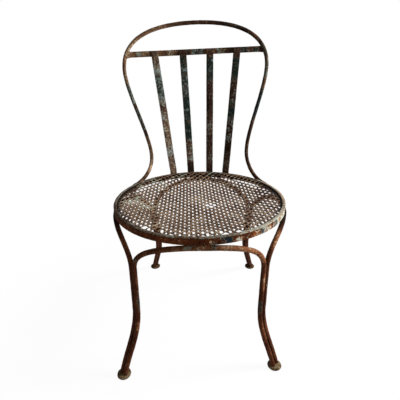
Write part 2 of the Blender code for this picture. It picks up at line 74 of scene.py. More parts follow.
def colour_of(swatch: Swatch) -> Colour:
    """Linear colour, with full alpha, of a swatch given in the usual 0 to 255 steps."""
    return (*(((step / 255 + 0.055) / 1.055) ** 2.4 for step in swatch), 1.0)


def ease(value: float, low: float, high: float) -> float:
    """Smooth step from 0 at low to 1 at high."""
    share = min(1.0, max(0.0, (value - low) / (high - low)))
    return share * share * (3 - 2 * share)


def power(value: float, exponent: float) -> float:
    """Power of a number's size, with the number's own sign."""
    return copysign(abs(value) ** exponent, value)


def bezier(start: Vector, handle_a: Vector, handle_b: Vector, end: Vector, steps: int) -> Points:
    """Points of a cubic curve, with both its ends.

    Args:
        start: First point.
        handle_a: Handle of the first point.
        handle_b: Handle of the last point.
        end: Last point.
        steps: Number of stretches.

    Returns:
        One point more than there are stretches.
    """
    points = []
    for i in range(steps + 1):
        t = i / steps
        u = 1 - t
        inner = handle_a * (3 * u * u * t) + handle_b * (3 * u * t * t)
        points.append(start * u ** 3 + inner + end * t ** 3)
    return points


def resample(path: Points, spacing: float) -> Points:
    """The same path with points at an even spacing along it.

    Args:
        path: Points of the path.
        spacing: Wanted distance between two points.

    Returns:
        The evenly spaced points, with both ends kept.
    """
    lengths = [0.0]
    for a, b in zip(path, path[1:]):
        lengths.append(lengths[-1] + (b - a).length)
    places = np.linspace(0.0, lengths[-1], max(2, round(lengths[-1] / spacing)) + 1)
    columns = [np.interp(places, lengths, [point[axis] for point in path]) for axis in range(3)]
    return [Vector(values) for values in zip(*columns)]


def tangents(path: Points) -> Points:
    """Unit direction of a path at each of its points."""
    last = len(path) - 1
    return [(path[min(i + 1, last)] - path[max(i - 1, 0)]).normalized() for i in range(len(path))]


def across(direction: Vector, guide: Vector) -> Vector:
    """The part of a guide that lies square to a direction, at unit length."""
    return (guide - direction * guide.dot(direction)).normalized()


def around(radius: float, turn: float, height: float = 0.0) -> Vector:
    """Point at a turn from the back of the seat, towards +X."""
    return Vector((radius * sin(turn), radius * cos(turn), height))


def outward(point: Vector) -> Vector:
    """Level direction from the seat's axis to a point, at unit length."""
    return Vector((point.x, point.y, 0)).normalized()


@dataclass(frozen=True)
class Plan:
    """Sizes that several pieces share, in metres and radians."""

    gap: float = 0.0003
    seat_height: float = 0.420
    seat_radius: float = 0.220
    rim_width: float = 0.0085
    rim_thick: float = 0.0040
    rim_overhang: float = 0.0004
    band_height: float = 0.0137
    band_thick: float = 0.0040
    hoop_rod: float = 0.0061
    loop_rod: float = 0.00575
    leg_turn: float = radians(1.2)
    lean: float = radians(10.0)
    side_lean: float = radians(1.5)
    back_offset: float = 0.0058
    splice_turn: float = radians(6.1)

    @property
    def rim_bottom(self) -> float:
        """Height of the underside of the rim."""
        return self.seat_height - self.rim_thick

    @property
    def band_top(self) -> float:
        """Height of the band's upper edge."""
        return self.rim_bottom - self.gap

    @property
    def band_bottom(self) -> float:
        """Height of the band's lower edge."""
        return self.band_top - self.band_height

    @property
    def band_outer(self) -> float:
        """Radius of the band's outer face."""
        return self.seat_radius - self.rim_overhang

    @property
    def band_inner(self) -> float:
        """Radius of the band's inner face."""
        return self.band_outer - self.band_thick

    @property
    def seat_centre(self) -> Vector:
        """Place of the seat's axis on the floor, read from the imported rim."""
        low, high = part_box("seat_rim")
        return Vector(((low.x + high.x) / 2, (low.y + high.y) / 2, 0))

    @property
    def forward(self) -> Vector:
        """Unit direction out of the front of the back's plane."""
        return Vector((0, -cos(self.lean), sin(self.lean)))

    def in_back(self, x: float, height: float) -> Vector:
        """Point of the back's plane, which leans backwards and a little aside.

        Args:
            x: Place across the back.
            height: Height before the back leans aside.

        Returns:
            The point, measured from the seat's axis.
        """
        rise, aside = height - self.seat_height, tan(self.side_lean)
        y = self.seat_radius + self.back_offset + rise * tan(self.lean)
        return Vector((x - rise * aside, y, height + x * aside))


PLAN = Plan()


# Shader tools


class Value:
    """A number socket that can be used in an expression."""

    def __init__(self, graph: "Graph", socket: bpy.types.NodeSocket) -> None:
        """Wrap a socket of a graph."""
        self.graph = graph
        self.socket = socket

    def _math(self, operation: str, *terms: "Value | Number") -> "Value":
        """Add a Math node over these terms."""
        node = self.graph.add("ShaderNodeMath", {"operation": operation}, dict(enumerate(terms)))
        return Value(self.graph, node.outputs[0])

    def __add__(self, other: "Value | Number") -> "Value":
        """Sum of two values."""
        return self._math("ADD", self, other)

    __radd__ = __add__

    def __sub__(self, other: "Value | Number") -> "Value":
        """This value less another."""
        return self._math("SUBTRACT", self, other)

    def __rsub__(self, other: Number) -> "Value":
        """A number less this value."""
        return self._math("SUBTRACT", other, self)

    def __mul__(self, other: "Value | Number") -> "Value":
        """Product of two values."""
        return self._math("MULTIPLY", self, other)

    __rmul__ = __mul__

    def step(self, low: float, high: float) -> "Value":
        """Smooth step from 0 at low to 1 at high."""
        node = self.graph.add("ShaderNodeMapRange", {"interpolation_type": "SMOOTHSTEP"},
                              {"Value": self, "From Min": low, "From Max": high})
        return Value(self.graph, node.outputs["Result"])


class Graph:
    """Node tree of one material or of the world, with the ways to add nodes to it."""

    def __init__(self, owner: bpy.types.Material | bpy.types.World) -> None:
        """Start an empty tree.

        Args:
            owner: Material or world that the tree belongs to.
        """
        owner.use_nodes = True
        self.owner = owner
        self.tree = owner.node_tree
        self.tree.nodes.clear()

    def add(self, kind: str, settings: dict[str, Any] | None = None,
            links: dict[str | int, Any] | None = None) -> bpy.types.Node:
        """Add a node of any type.

        Args:
            kind: Type name of the node.
            settings: Properties of the node, set before its sockets.
            links: Value, or socket to link from, of each input by name or place.

        Returns:
            The new node.
        """
        node = self.tree.nodes.new(kind)
        for key, setting in (settings or {}).items():
            setattr(node, key, setting)
        for key, source in (links or {}).items():
            if isinstance(source, Value):
                source = source.socket
            if isinstance(source, bpy.types.NodeSocket):
                self.tree.links.new(source, node.inputs[key])
            else:
                node.inputs[key].default_value = source
        return node

    def attribute(self, name: str) -> Value:
        """Number that the mesh carries under a name."""
        return Value(self, self.add("ShaderNodeAttribute", {"attribute_name": name}).outputs["Fac"])

    def point(self) -> bpy.types.NodeSocket:
        """Point of the object that is shaded."""
        return self.add("ShaderNodeTexCoord").outputs["Object"]

    def clouds(self, shift: Triple, layers: Rows) -> list[Value]:
        """Cloudy noises that swing round 0.

        Args:
            shift: Distance that the texture is moved by, so that two finishes differ.
            layers: Clouds to a metre, number of finer layers and their strength, for each.

        Returns:
            One value for each noise.
        """
        place = self.add("ShaderNodeVectorMath", {"operation": "ADD"}, {0: self.point(), 1: shift})
        noises = [self.add("ShaderNodeTexNoise", None, {"Vector": place.outputs[0], "Scale": scale,
                                                        "Detail": detail, "Roughness": rough})
                  for scale, detail, rough in layers]
        return [Value(self, node.outputs["Fac"]) - 0.5 for node in noises]

    def mix(self, share: "Value | Number", a: Any, b: Any) -> bpy.types.NodeSocket:
        """Colour between two colours, the first one where the share is 0."""
        return self.add("ShaderNodeMix", {"data_type": "RGBA"}, {0: share, 6: a, 7: b}).outputs[2]

    def shaded(self, colour: bpy.types.NodeSocket, roughness: Value, height: Value, depth: float,
               shine: float) -> bpy.types.Material:
        """Finish the tree with a Principled shader.

        Args:
            colour: Base colour.
            roughness: Roughness.
            height: Relief.
            depth: Height in metres of a relief of 1.
            shine: Specular level, the same all over.

        Returns:
            The finished material.
        """
        bump = self.add("ShaderNodeBump", None, {"Height": height, "Distance": depth, "Strength": 1.0})
        shader = self.add("ShaderNodeBsdfPrincipled", None,
                          {"Base Color": colour, "Roughness": roughness, "Normal": bump.outputs["Normal"],
                           "Specular IOR Level": shine})
        self.add("ShaderNodeOutputMaterial", None, {"Surface": shader.outputs["BSDF"]})
        return self.owner

    def seen_directly(self) -> Value:
        """Tell the rays from the camera, a mirror or glass from those of soft light.

        Returns:
            1 for the former, 0 for the latter.
        """
        path = self.add("ShaderNodeLightPath")
        names = ("Is Camera Ray", "Is Glossy Ray", "Is Transmission Ray")
        camera, glossy, clear = (Value(self, path.outputs[name]) for name in names)
        return (camera + glossy + clear).step(0.0, 1.0)


# Finishes


@dataclass(frozen=True)
class WornIron:
    """Rusty iron on which patches of old paint have held.

    The mesh's own "cover" number, added to clouds of several sizes, says where
    paint is left. Its "pale" number bleaches the rust and the paint, and its
    third number says where dirt has settled and where shade is painted in.
    """

    name: str
    rust: tuple[Swatch, Swatch, Swatch]
    bright_share: float
    paint: tuple[Swatch, Swatch]
    pale_share: float
    cream_share: float
    shift: Triple
    mottle: float = 1.0
    ragged: float = 1.0
    cream: Swatch = (200, 186, 154)
    # Dark colour for dirt, also used for painted shade in creases, under the seat and on left sides
    dirt: Swatch = (11, 6, 4)
    layers: Rows = ((17, 3, 0.55), (62, 5, 0.6), (240, 5, 0.62), (720, 3, 0.6))
    relief: float = 0.0006
    shine: float = 0.04

    def material(self) -> bpy.types.Material:
        """Build this finish from nodes.

        Returns:
            The material.
        """
        graph = Graph(bpy.data.materials.new(self.name))
        broad, blotch, fine, grit = graph.clouds(self.shift, self.layers)
        clouds, specks, dust = (layer * self.mottle for layer in (broad, blotch, fine))
        bleach = graph.attribute("pale")
        deep, middle, bright = map(colour_of, self.rust)
        fresh, faded = map(colour_of, self.paint)

        cover = graph.attribute("cover") + (broad + blotch * 1.5 + fine * 1.7) * self.ragged
        painted = cover.step(0.47, 0.54)
        chipped = cover.step(0.40, 0.47) * (1 - painted)
        tone = specks * 0.5 + dust * 0.5 + clouds * 0.4 + bleach * 0.16
        rust = graph.mix(tone.step(-0.16, 0.12), deep, middle)
        glow = dust * 0.7 + grit * 0.3 + clouds * 0.6 + bleach * 0.20
        rust = graph.mix(glow.step(-0.02, 0.20) * self.bright_share, rust, bright)
        wear = specks + dust * 1.3 + bleach * 0.30 + (self.pale_share - 0.5) * 0.3
        colour = graph.mix(painted, rust, graph.mix(wear.step(0.02, 0.24), fresh, faded))
        fleck = (fine * 1.3 + grit * 0.7 + bleach * 0.14).step(0.24, 0.31)
        colour = graph.mix((fleck + chipped * 0.35) * self.cream_share, colour, colour_of(self.cream))
        # Dirt and painted shade: darkens by the mesh's third number, which holds both
        soiled_and_shaded = (graph.attribute("grime_and_shade") + fine * 0.5).step(0.25, 0.95)
        colour = graph.mix(soiled_and_shaded * 0.95, colour, colour_of(self.dirt))

        roughness = 0.82 - painted * 0.24 + grit * 0.25
        height = painted * 0.35 + blotch * 0.30 + fine * 0.45 + grit * 0.22
        return graph.shaded(colour, roughness, height, self.relief, self.shine)


@dataclass(frozen=True)
class MeshIron:
    """Rusty expanded metal whose raised strands are worn and pale, partly as a painted highlight."""

    name: str
    hollow: Swatch
    rust: Swatch
    # Colour of the worn crests, which is partly a painted highlight
    worn: Swatch
    paint: tuple[Swatch, Swatch]
    # Dark colour for dirt, also used for painted shade at the sheet's edge
    soot_and_shade: Swatch
    shift: Triple
    layers: Rows = ((19, 3, 0.55), (85, 4, 0.6), (330, 4, 0.6))
    relief: float = 0.0004
    shine: float = 0.05

    def material(self) -> bpy.types.Material:
        """Build this finish from nodes.

        Returns:
            The material.
        """
        graph = Graph(bpy.data.materials.new(self.name))
        broad, blotch, fine = graph.clouds(self.shift, self.layers)
        raised = graph.attribute("raised")
        bleach = graph.attribute("pale")

        rusted = (blotch + fine * 0.6).step(-0.12, 0.12)
        colour = graph.mix(rusted, colour_of(self.hollow), colour_of(self.rust))
        # Worn pale crests of the raised strands, partly a painted highlight along them
        worn = (raised + fine * 2.2 + broad * 0.8 + bleach * 0.4).step(0.70, 1.40)
        colour = graph.mix(worn, colour, colour_of(self.worn))
        painted = (graph.attribute("cover") + broad * 1.2 + blotch * 1.6).step(0.46, 0.60)
        pale = (fine * 0.7 + raised * 0.3 + bleach * 0.2).step(0.0, 0.27)
        colour = graph.mix(painted * 0.85, colour, graph.mix(pale, *map(colour_of, self.paint)))
        # Dirt and painted shade: darkens by the mesh's third number
        soiled_and_shaded = (graph.attribute("grime_and_shade") + fine * 0.8 - worn * 0.4).step(0.15, 0.85)
        colour = graph.mix(soiled_and_shaded * 0.92, colour, colour_of(self.soot_and_shade))
        return graph.shaded(colour, 0.80 - painted * 0.2 + fine * 0.2, blotch * 0.4 + fine * 0.6,
                            self.relief, self.shine)


def made(finish: WornIron | MeshIron) -> Any:
    """Dataclass field that holds the material of a finish, made once."""
    return field(default_factory=finish.material)


@dataclass(frozen=True)
class Palette:
    """Materials of the chair by the pieces that they belong to."""

    rod: bpy.types.Material = made(WornIron(
        "rod rust", ((38, 15, 6), (72, 37, 20), (146, 94, 58)), 0.40,
        ((24, 32, 28), (112, 114, 102)), 0.35, 0.50, (3.1, 1.7, 0.4), 0.60, 0.85))
    back: bpy.types.Material = made(WornIron(
        "back rust and paint", ((28, 18, 12), (62, 41, 28), (142, 105, 76)), 0.45,
        ((18, 25, 23), (116, 120, 110)), 0.40, 0.50, (7.3, 2.2, 5.1), 0.70, 0.80))
    slat: bpy.types.Material = made(WornIron(
        "slat paint", ((32, 19, 13), (52, 35, 26), (108, 86, 72)), 0.45,
        ((17, 27, 23), (110, 118, 114)), 0.35, 0.60, (1.3, 8.2, 4.4)))
    band: bpy.types.Material = made(WornIron(
        "band rust", ((52, 22, 9), (84, 42, 19), (164, 100, 56)), 0.40,
        ((22, 30, 36), (150, 152, 138)), 0.60, 0.75, (5.0, 3.3, 9.7), 0.70))
    rim: bpy.types.Material = made(WornIron(
        "rim paint", ((46, 35, 27), (98, 80, 66), (160, 138, 120)), 0.50,
        ((64, 66, 58), (146, 142, 128)), 0.60, 0.40, (2.9, 6.4, 1.8), 0.65, 0.80))
    foot: bpy.types.Material = made(WornIron(
        "foot rust and mud", ((38, 26, 15), (84, 65, 44), (132, 114, 86)), 0.60,
        ((38, 34, 24), (118, 106, 82)), 0.50, 0.30, (8.8, 0.6, 3.9)))
    mesh: bpy.types.Material = made(MeshIron(
        "mesh rust", (38, 25, 18), (90, 66, 52), (188, 166, 138),
        ((42, 48, 42), (136, 140, 124)), (9, 7, 5), (4.6, 9.1, 2.7)))


# Weathering


@dataclass(frozen=True)
class Patch:
    """A place whose paint and bleaching differ from what is around it, as an ellipsoid.

    Places are measured from the seat's axis on the floor.
    """

    at: Sequence[float]
    reach: float
    cover: float
    pale: float = 0.0
    tall: float = 1.0

    def share(self, point: Vector) -> float:
        """How much of this patch a point gets.

        Args:
            point: The point, measured from the seat's axis.

        Returns:
            1 in the middle of the patch, 0 outside it.
        """
        offset = point - Vector(self.at)
        offset.z /= self.tall
        return 1 - ease(offset.length, self.reach * 0.45, self.reach)


def patches(rows: Iterable[Sequence[float]]) -> tuple[Patch, ...]:
    """Patches from rows of X, Y, Z, reach, cover, bleaching and, where it isn't 1, tallness."""
    return tuple(Patch(row[:3], *row[3:]) for row in rows)


@dataclass(frozen=True)
class Weather:
    """Where paint, bleaching, dirt and painted shade lie on a group of pieces.

    The runs are for an upright piece: height, paint and bleaching at points up it.
    """

    cover: float = 0.0
    patches: tuple[Patch, ...] = ()
    # Dirt and painted shade at each point
    grime_and_shade: Callable[[Vector], float] = field(default=lambda point: 0.0)
    runs: Rows = ()

    def _run(self, point: Vector, column: int) -> float:
        """Amount that the runs give at a point's height."""
        if not self.runs:
            return 0.0
        return float(np.interp(point.z, [run[0] for run in self.runs], [run[column] for run in self.runs]))

    def paint_at(self, point: Vector) -> float:
        """Amount of old paint at a point."""
        patched = sum(patch.cover * patch.share(point) for patch in self.patches)
        return self.cover + self._run(point, 1) + patched

    def pale_at(self, point: Vector) -> float:
        """How far rust and paint are bleached at a point."""
        return self._run(point, 2) + sum(patch.pale * patch.share(point) for patch in self.patches)


# Meshes


class Piece:
    """One mesh of the chair while it is being made, round the seat's axis."""

    def __init__(self, name: str, rings: Sequence[Points] = (), dents: Iterable[Triple] = (),
                 closed: bool = False) -> None:
        """Start a mesh.

        Args:
            name: Name of the finished object.
            rings: Rings of its first skin, if it has one.
            dents: Size, fineness and seed of each layer of dents in that skin.
            closed: Whether the skin's last ring meets its first one.
        """
        self.name = name
        self.mesh = bmesh.new()
        if rings:
            self.loft(rings, closed)
        for dent in dents:
            self.dent(*dent)

    def loft(self, rings: Sequence[Points], closed: bool = False) -> None:
        """Add a closed skin over a row of rings.

        Args:
            rings: Rings with the same number of points each.
            closed: Whether the last ring meets the first one.
        """
        loops = [[self.mesh.verts.new(point) for point in ring] for ring in rings]
        pairs = list(zip(loops, loops[1:]))
        if closed:
            pairs.append((loops[-1], loops[0]))
        for low, high in pairs:
            for k in range(len(low)):
                after = (k + 1) % len(low)
                self.mesh.faces.new((low[k], low[after], high[after], high[k]))
        if not closed:
            self.mesh.faces.new(loops[0][::-1])
            self.mesh.faces.new(loops[-1])

    def dent(self, amount: float, scale: float, seed: float) -> None:
        """Push every point a little along its normal, by smooth noise.

        Args:
            amount: Largest push in metres.
            scale: Dents to a metre.
            seed: Offset into the noise, so that pieces differ.
        """
        self.mesh.normal_update()
        for vert in self.mesh.verts:
            vert.co += vert.normal * (amount * noise.noise(vert.co * scale + Vector((seed, seed, seed))))

    def place(self, finish: bpy.types.Material, slot: str, weather: Weather, node: str = "",
              sharp: float = radians(50)) -> None:
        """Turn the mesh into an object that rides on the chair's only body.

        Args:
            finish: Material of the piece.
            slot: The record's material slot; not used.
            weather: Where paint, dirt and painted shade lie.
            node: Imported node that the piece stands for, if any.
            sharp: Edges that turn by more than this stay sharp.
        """
        bmesh.ops.recalc_face_normals(self.mesh, faces=self.mesh.faces)
        amounts = {name: [amount_at(vert.co) for vert in self.mesh.verts] for name, amount_at in
                   (("cover", weather.paint_at), ("pale", weather.pale_at), ("grime_and_shade", weather.grime_and_shade))}
        bmesh.ops.translate(self.mesh, verts=self.mesh.verts, vec=PLAN.seat_centre)
        data = bpy.data.meshes.new(self.name)
        self.mesh.to_mesh(data)
        self.mesh.free()
        for name, values in amounts.items():
            data.attributes.new(name, "FLOAT", "POINT").data.foreach_set("value", values)
        data.shade_smooth()
        data.set_sharp_from_angle(angle=sharp)
        data.materials.append(finish)
        obj = bpy.data.objects.new(self.name, data)
        bpy.context.scene.collection.objects.link(obj)
        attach(obj, "root")
        if node:
            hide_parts(node)
        LOG.info("%s: %d faces", self.name, len(data.polygons))


def oval(centre: Vector, side: Vector, up: Vector, half_side: float, half_up: float,
         squareness: float = 2.0, count: int = 20) -> Points:
    """Ring of points, round at squareness 2 and nearly a rectangle above 6.

    Args:
        centre: Middle of the ring.
        side: Unit direction of the first half size.
        up: Unit direction of the second half size.
        half_side: Half size along side.
        half_up: Half size along up.
        squareness: Exponent of the outline.
        count: Number of points.

    Returns:
        The points in order.
    """
    angles = [2 * pi * (k + 0.5) / count for k in range(count)]
    return [centre + side * (half_side * power(cos(angle), 2 / squareness))
            + up * (half_up * power(sin(angle), 2 / squareness)) for angle in angles]


def bar(centre: Vector, wide: Vector, thin: Vector, half_wide: float, half_thin: float,
        edge: float) -> Points:
    """Ring of a flat bar with worn, rounded edges.

    Args:
        centre: Middle of the section.
        wide: Unit direction across the flat face.
        thin: Unit direction through the bar.
        half_wide: Half the bar's width.
        half_thin: Half the bar's thickness.
        edge: How far the corners are rounded.

    Returns:
        Four points for each corner and one on each flat face, in order.
    """
    outline = []
    for quarter, (corner_wide, corner_thin) in enumerate(((1, 1), (-1, 1), (-1, -1), (1, -1))):
        for k in range(4):
            angle = pi / 2 * (quarter + k / 3)
            outline.append((corner_wide * (half_wide - edge) + edge * cos(angle),
                            corner_thin * (half_thin - edge) + edge * sin(angle)))
        if quarter % 2 == 0:
            outline.append((0.0, corner_thin * half_thin))
    return [centre + wide * a + thin * b for a, b in outline]


def rod_rings(path: Points, radius: float) -> list[Points]:
    """Rings of a round rod that is bent about the seat's axis.

    Args:
        path: Centre line, measured from the seat's axis.
        radius: Radius of the rod.

    Returns:
        One ring for each point of the path.
    """
    rings = []
    for point, direction in zip(path, tangents(path)):
        side = across(direction, outward(point))
        rings.append(oval(point, side, direction.cross(side), radius, radius))
    return rings


def revolved(profile: Sequence[tuple[float, float]], count: int) -> list[Points]:
    """Rings of so many points, from their radius and height on their own Z axis."""
    return [[around(radius, 2 * pi * k / count, height) for k in range(count)] for radius, height in profile]


def lump(centre: Vector, sizes: Triple, turn: float, seed: float, count: int = 20,
         swelling: float = 0.28) -> list[Points]:
    """Rings of an uneven bead of weld metal.

    Args:
        centre: Middle of the bead.
        sizes: Half sizes along its own X, Y and Z.
        turn: Turn of the bead's X axis about Z.
        seed: Offset into the noise.
        count: Number of points to a ring.
        swelling: How uneven the bead is.

    Returns:
        Rings from the bead's bottom to its top.
    """
    shape = Matrix.Rotation(turn, 3, "Z") @ Matrix.Diagonal(sizes)
    rings = []
    for i in range(1, 12):
        polar = pi * i / 12 - pi / 2
        ball = [around(cos(polar), pi / 2 - 2 * pi * k / count, sin(polar)) for k in range(count)]
        swells = [1 + swelling * noise.noise(point * 1.9 + Vector((seed, 0, seed))) for point in ball]
        rings.append([centre + shape @ point * swell for point, swell in zip(ball, swells)])
    return rings


# Seat


@dataclass
class SeatRing:
    """Rim, band and splice plate of the round seat."""

    finishes: Palette
    segments: int = 288
    band_segments: int = 432
    plate_segments: int = 24
    face_step: float = 0.0025
    lip: float = 0.0015
    crown_start: float = 0.0005
    band_edge: float = 0.0006
    rim_wave: float = 0.00025
    band_wave: float = 0.00022
    slit: float = 0.0006
    splice_length: float = 0.060
    splice_height: float = 0.0090
    splice_thick: float = 0.0025
    splice_raise: float = 0.0008
    splice_edge: float = 0.0004
    slim_back: float = 0.0036
    rim_cover: float = 0.45
    band_cover: float = 0.06
    rim_dents: Triple = (0.00025, 90, 3.0)
    band_dents: Triple = (0.00022, 160, 5.0)
    plate_dents: Triple = (0.0002, 200, 8.0)
    # Rows as patches() takes them
    rim_patches: Rows = (
        (0.0, 0.220, 0.42, 0.150, -0.30, -0.3), (0.160, -0.150, 0.42, 0.120, 0.10, 0.6),
        (0.210, 0.040, 0.42, 0.120, -0.05, 1.2), (-0.190, -0.110, 0.42, 0.090, -0.20, -0.6))
    # Turn from the front to the right, height on the band, reach, cover, bleaching
    band_spots: Rows = (
        (-68, 0, 0.030, 0.10, -0.3), (-38, 0.003, 0.030, 0.0, -0.5), (-14, -0.002, 0.022, 0.0, 0.0),
        (3, -0.004, 0.010, 0.32, -0.2), (5.8, 0.0035, 0.0026, 0.50, 2.2), (5.8, 0.0, 0.0026, 0.45, 2.2),
        (8.5, -0.004, 0.010, 0.36, -0.3), (11, -0.003, 0.009, 0.35, 0.4), (15, 0.002, 0.018, 0.70, -0.7),
        (22, -0.002, 0.012, 0.45, 0.7), (54, 0, 0.112, 0.44, 0.40), (27, 0.002, 0.012, 0.30, -0.1),
        (33, -0.002, 0.010, 0.0, 0.5), (38, 0.003, 0.010, 0.20, -0.4), (44, 0, 0.012, 0.10, 0.6),
        (51, 0.002, 0.012, 0.15, -0.4), (57, 0, 0.009, -0.3, 0.4), (64, 0, 0.016, 0.15, 0.4),
        (90, 0, 0.040, 0.20, 0.2))

    @cached_property
    def _splice_heads(self) -> Points:
        """Middle of each rivet of the splice."""
        boxes = (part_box(f"splice_{side}_rivet") for side in ("left", "right"))
        return [(low + high) / 2 - PLAN.seat_centre for low, high in boxes]

    def _band_weather(self) -> Weather:
        """Paint, dirt and painted shade on the band: paint has held near the right front.

        Returns:
            The weather of the whole band.
        """
        middle = (PLAN.band_top + PLAN.band_bottom) / 2
        rows = ((*around(PLAN.band_outer, pi - radians(turn), middle + rise), *rest)
                for turn, rise, *rest in self.band_spots)
        return Weather(self.band_cover, patches(rows), self._band_grime_and_shade)

    def _band_grime_and_shade(self, point: Vector) -> float:
        """Painted shade under the rim, inside the band and on its left; shade and dirt round its rivets; a
        dark lower edge.

        Args:
            point: A point of the mesh, measured from the seat's axis.

        Returns:
            Amount of dirt and painted shade.
        """
        # Painted shade along the top of the band, under the rim
        crease = 0.7 * (1 - ease(PLAN.band_top + self.lip - point.z, 0.0, 0.0016))
        # Darker along the band's lower edge
        edge = 0.5 * (1 - ease(point.z - PLAN.band_bottom, 0.0, 0.0010))
        # Painted shade over the band's inner face
        inside = 1.0 if hypot(point.x, point.y) < PLAN.band_outer - 0.002 else 0.0
        # Painted shade towards the band's left, the side away from the key lamp
        left = 0.30 * ease(-point.x, 0.09, 0.18)
        # Dark rings round the splice rivets: painted shade round their heads, and dirt
        away = min(hypot(point.x - head.x, point.z - head.z) for head in self._splice_heads)
        return max(crease, edge, inside, left, 0.75 * (1 - ease(away, 0.0045, 0.0075)))

    def _rim_painted_shade(self, point: Vector) -> float:
        """Painted shade on the rim's underside and along its inner foot, deeper at the sides.

        Args:
            point: A point of the mesh, measured from the seat's axis.

        Returns:
            Amount of painted shade.
        """
        # Painted shade under the rim, and along its inner foot where it meets the sheet
        low = 1 - ease(point.z - PLAN.rim_bottom - self.lip, 0.0002, 0.0010)
        inner = 1 - ease(hypot(point.x, point.y) - (PLAN.seat_radius - PLAN.rim_width), 0.0, 0.0016)
        return max(low * 0.4, inner * (0.35 + 0.6 * ease(abs(point.x), 0.10, 0.17)))

    def _ring(self, section: Callable[[float], list[tuple[float, float]]], start: float, sweep: float,
              steps: int) -> list[Points]:
        """Rings of a bar bent round the seat's axis.

        Args:
            section: Radius and height of each point of the bar's outline at a turn.
            start: Turn at which the bar starts.
            sweep: How far it runs round.
            steps: Number of stretches.

        Returns:
            One ring for each stretch and one more.
        """
        turns = [start + sweep * k / steps for k in range(steps + 1)]
        return [[around(radius, turn, height) for radius, height in section(turn)] for turn in turns]

    def _rim_section(self, turn: float) -> list[tuple[float, float]]:
        """Half round outline of the rim, slimmer at the back and a little uneven.

        Args:
            turn: Turn round the seat's axis.

        Returns:
            Radius and height of each point.
        """
        width = (PLAN.rim_width - self.slim_back * ease(cos(turn), 0.45, 0.80)) / 2
        middle = PLAN.seat_radius - width
        wave = self.rim_wave * noise.noise(Vector((sin(turn) * 6, cos(turn) * 6, 2.0)))
        low = PLAN.rim_bottom + self.lip
        crown = PLAN.rim_thick - self.lip - self.crown_start
        dome = [(middle + width * power(cos(angle), 0.75) + wave,
                 low + self.crown_start + crown * sin(angle) ** 0.7)
                for angle in (pi * k / 8 for k in range(9))]
        return [(middle + width, low), *dome, (middle - width, low)]

    def _band_section(self, turn: float) -> list[tuple[float, float]]:
        """Outline of the flat band, with worn edges and a wavy face, close under the rim.

        Args:
            turn: Turn round the seat's axis.

        Returns:
            Radius and height of each point.
        """
        wave = self.band_wave * noise.noise(Vector((sin(turn) * 9, cos(turn) * 9, 7.0)))
        middle = (PLAN.band_outer + PLAN.band_inner) / 2 + wave
        height = (PLAN.band_top + PLAN.band_bottom + self.lip) / 2
        ring = bar(Vector((middle, height, 0)), AXIS_X, AXIS_Y, PLAN.band_thick / 2,
                   (PLAN.band_height + self.lip) / 2, self.band_edge)
        outline = []
        for point, after in zip(ring, ring[1:] + ring[:1]):
            count = ceil((after - point).length / self.face_step)
            outline += [point.lerp(after, k / count) for k in range(count)]
        return [(point.x, point.y) for point in outline]

    def _plate_outline(self) -> list[tuple[float, float]]:
        """Outline of the splice plate.

        Returns:
            Radius and height of each point.
        """
        middle = Vector((PLAN.band_inner - PLAN.gap - self.splice_thick / 2,
                         PLAN.band_bottom + self.splice_raise + self.splice_height / 2, 0))
        ring = bar(middle, AXIS_X, AXIS_Y, self.splice_thick / 2, self.splice_height / 2, self.splice_edge)
        return [(point.x, point.y) for point in ring]

    def build(self) -> None:
        """Make the rim, the band and the splice plate."""
        rings = self._ring(self._rim_section, 0.0, 2 * pi, self.segments)
        rim = Piece("rim_hoop", rings[:-1], [self.rim_dents], closed=True)
        weather = Weather(self.rim_cover, patches(self.rim_patches), self._rim_painted_shade)
        rim.place(self.finishes.rim, "worn_paint", weather, "seat_rim")

        joint = pi - PLAN.splice_turn
        slit = self.slit / PLAN.band_outer
        rings = self._ring(self._band_section, joint + slit / 2, 2 * pi - slit, self.band_segments)
        band = Piece("flat_band", rings, [self.band_dents])
        band.place(self.finishes.band, "rusty_iron", self._band_weather(), "seat_band")

        half = self.splice_length / 2 / (PLAN.band_inner - PLAN.gap)
        outline = self._plate_outline()
        rings = self._ring(lambda turn: outline, joint - half, 2 * half, self.plate_segments)
        plate = Piece("splice_plate", rings, [self.plate_dents])
        plate.place(self.finishes.band, "dark_iron", Weather(grime_and_shade=lambda point: 0.5), "band_splice")


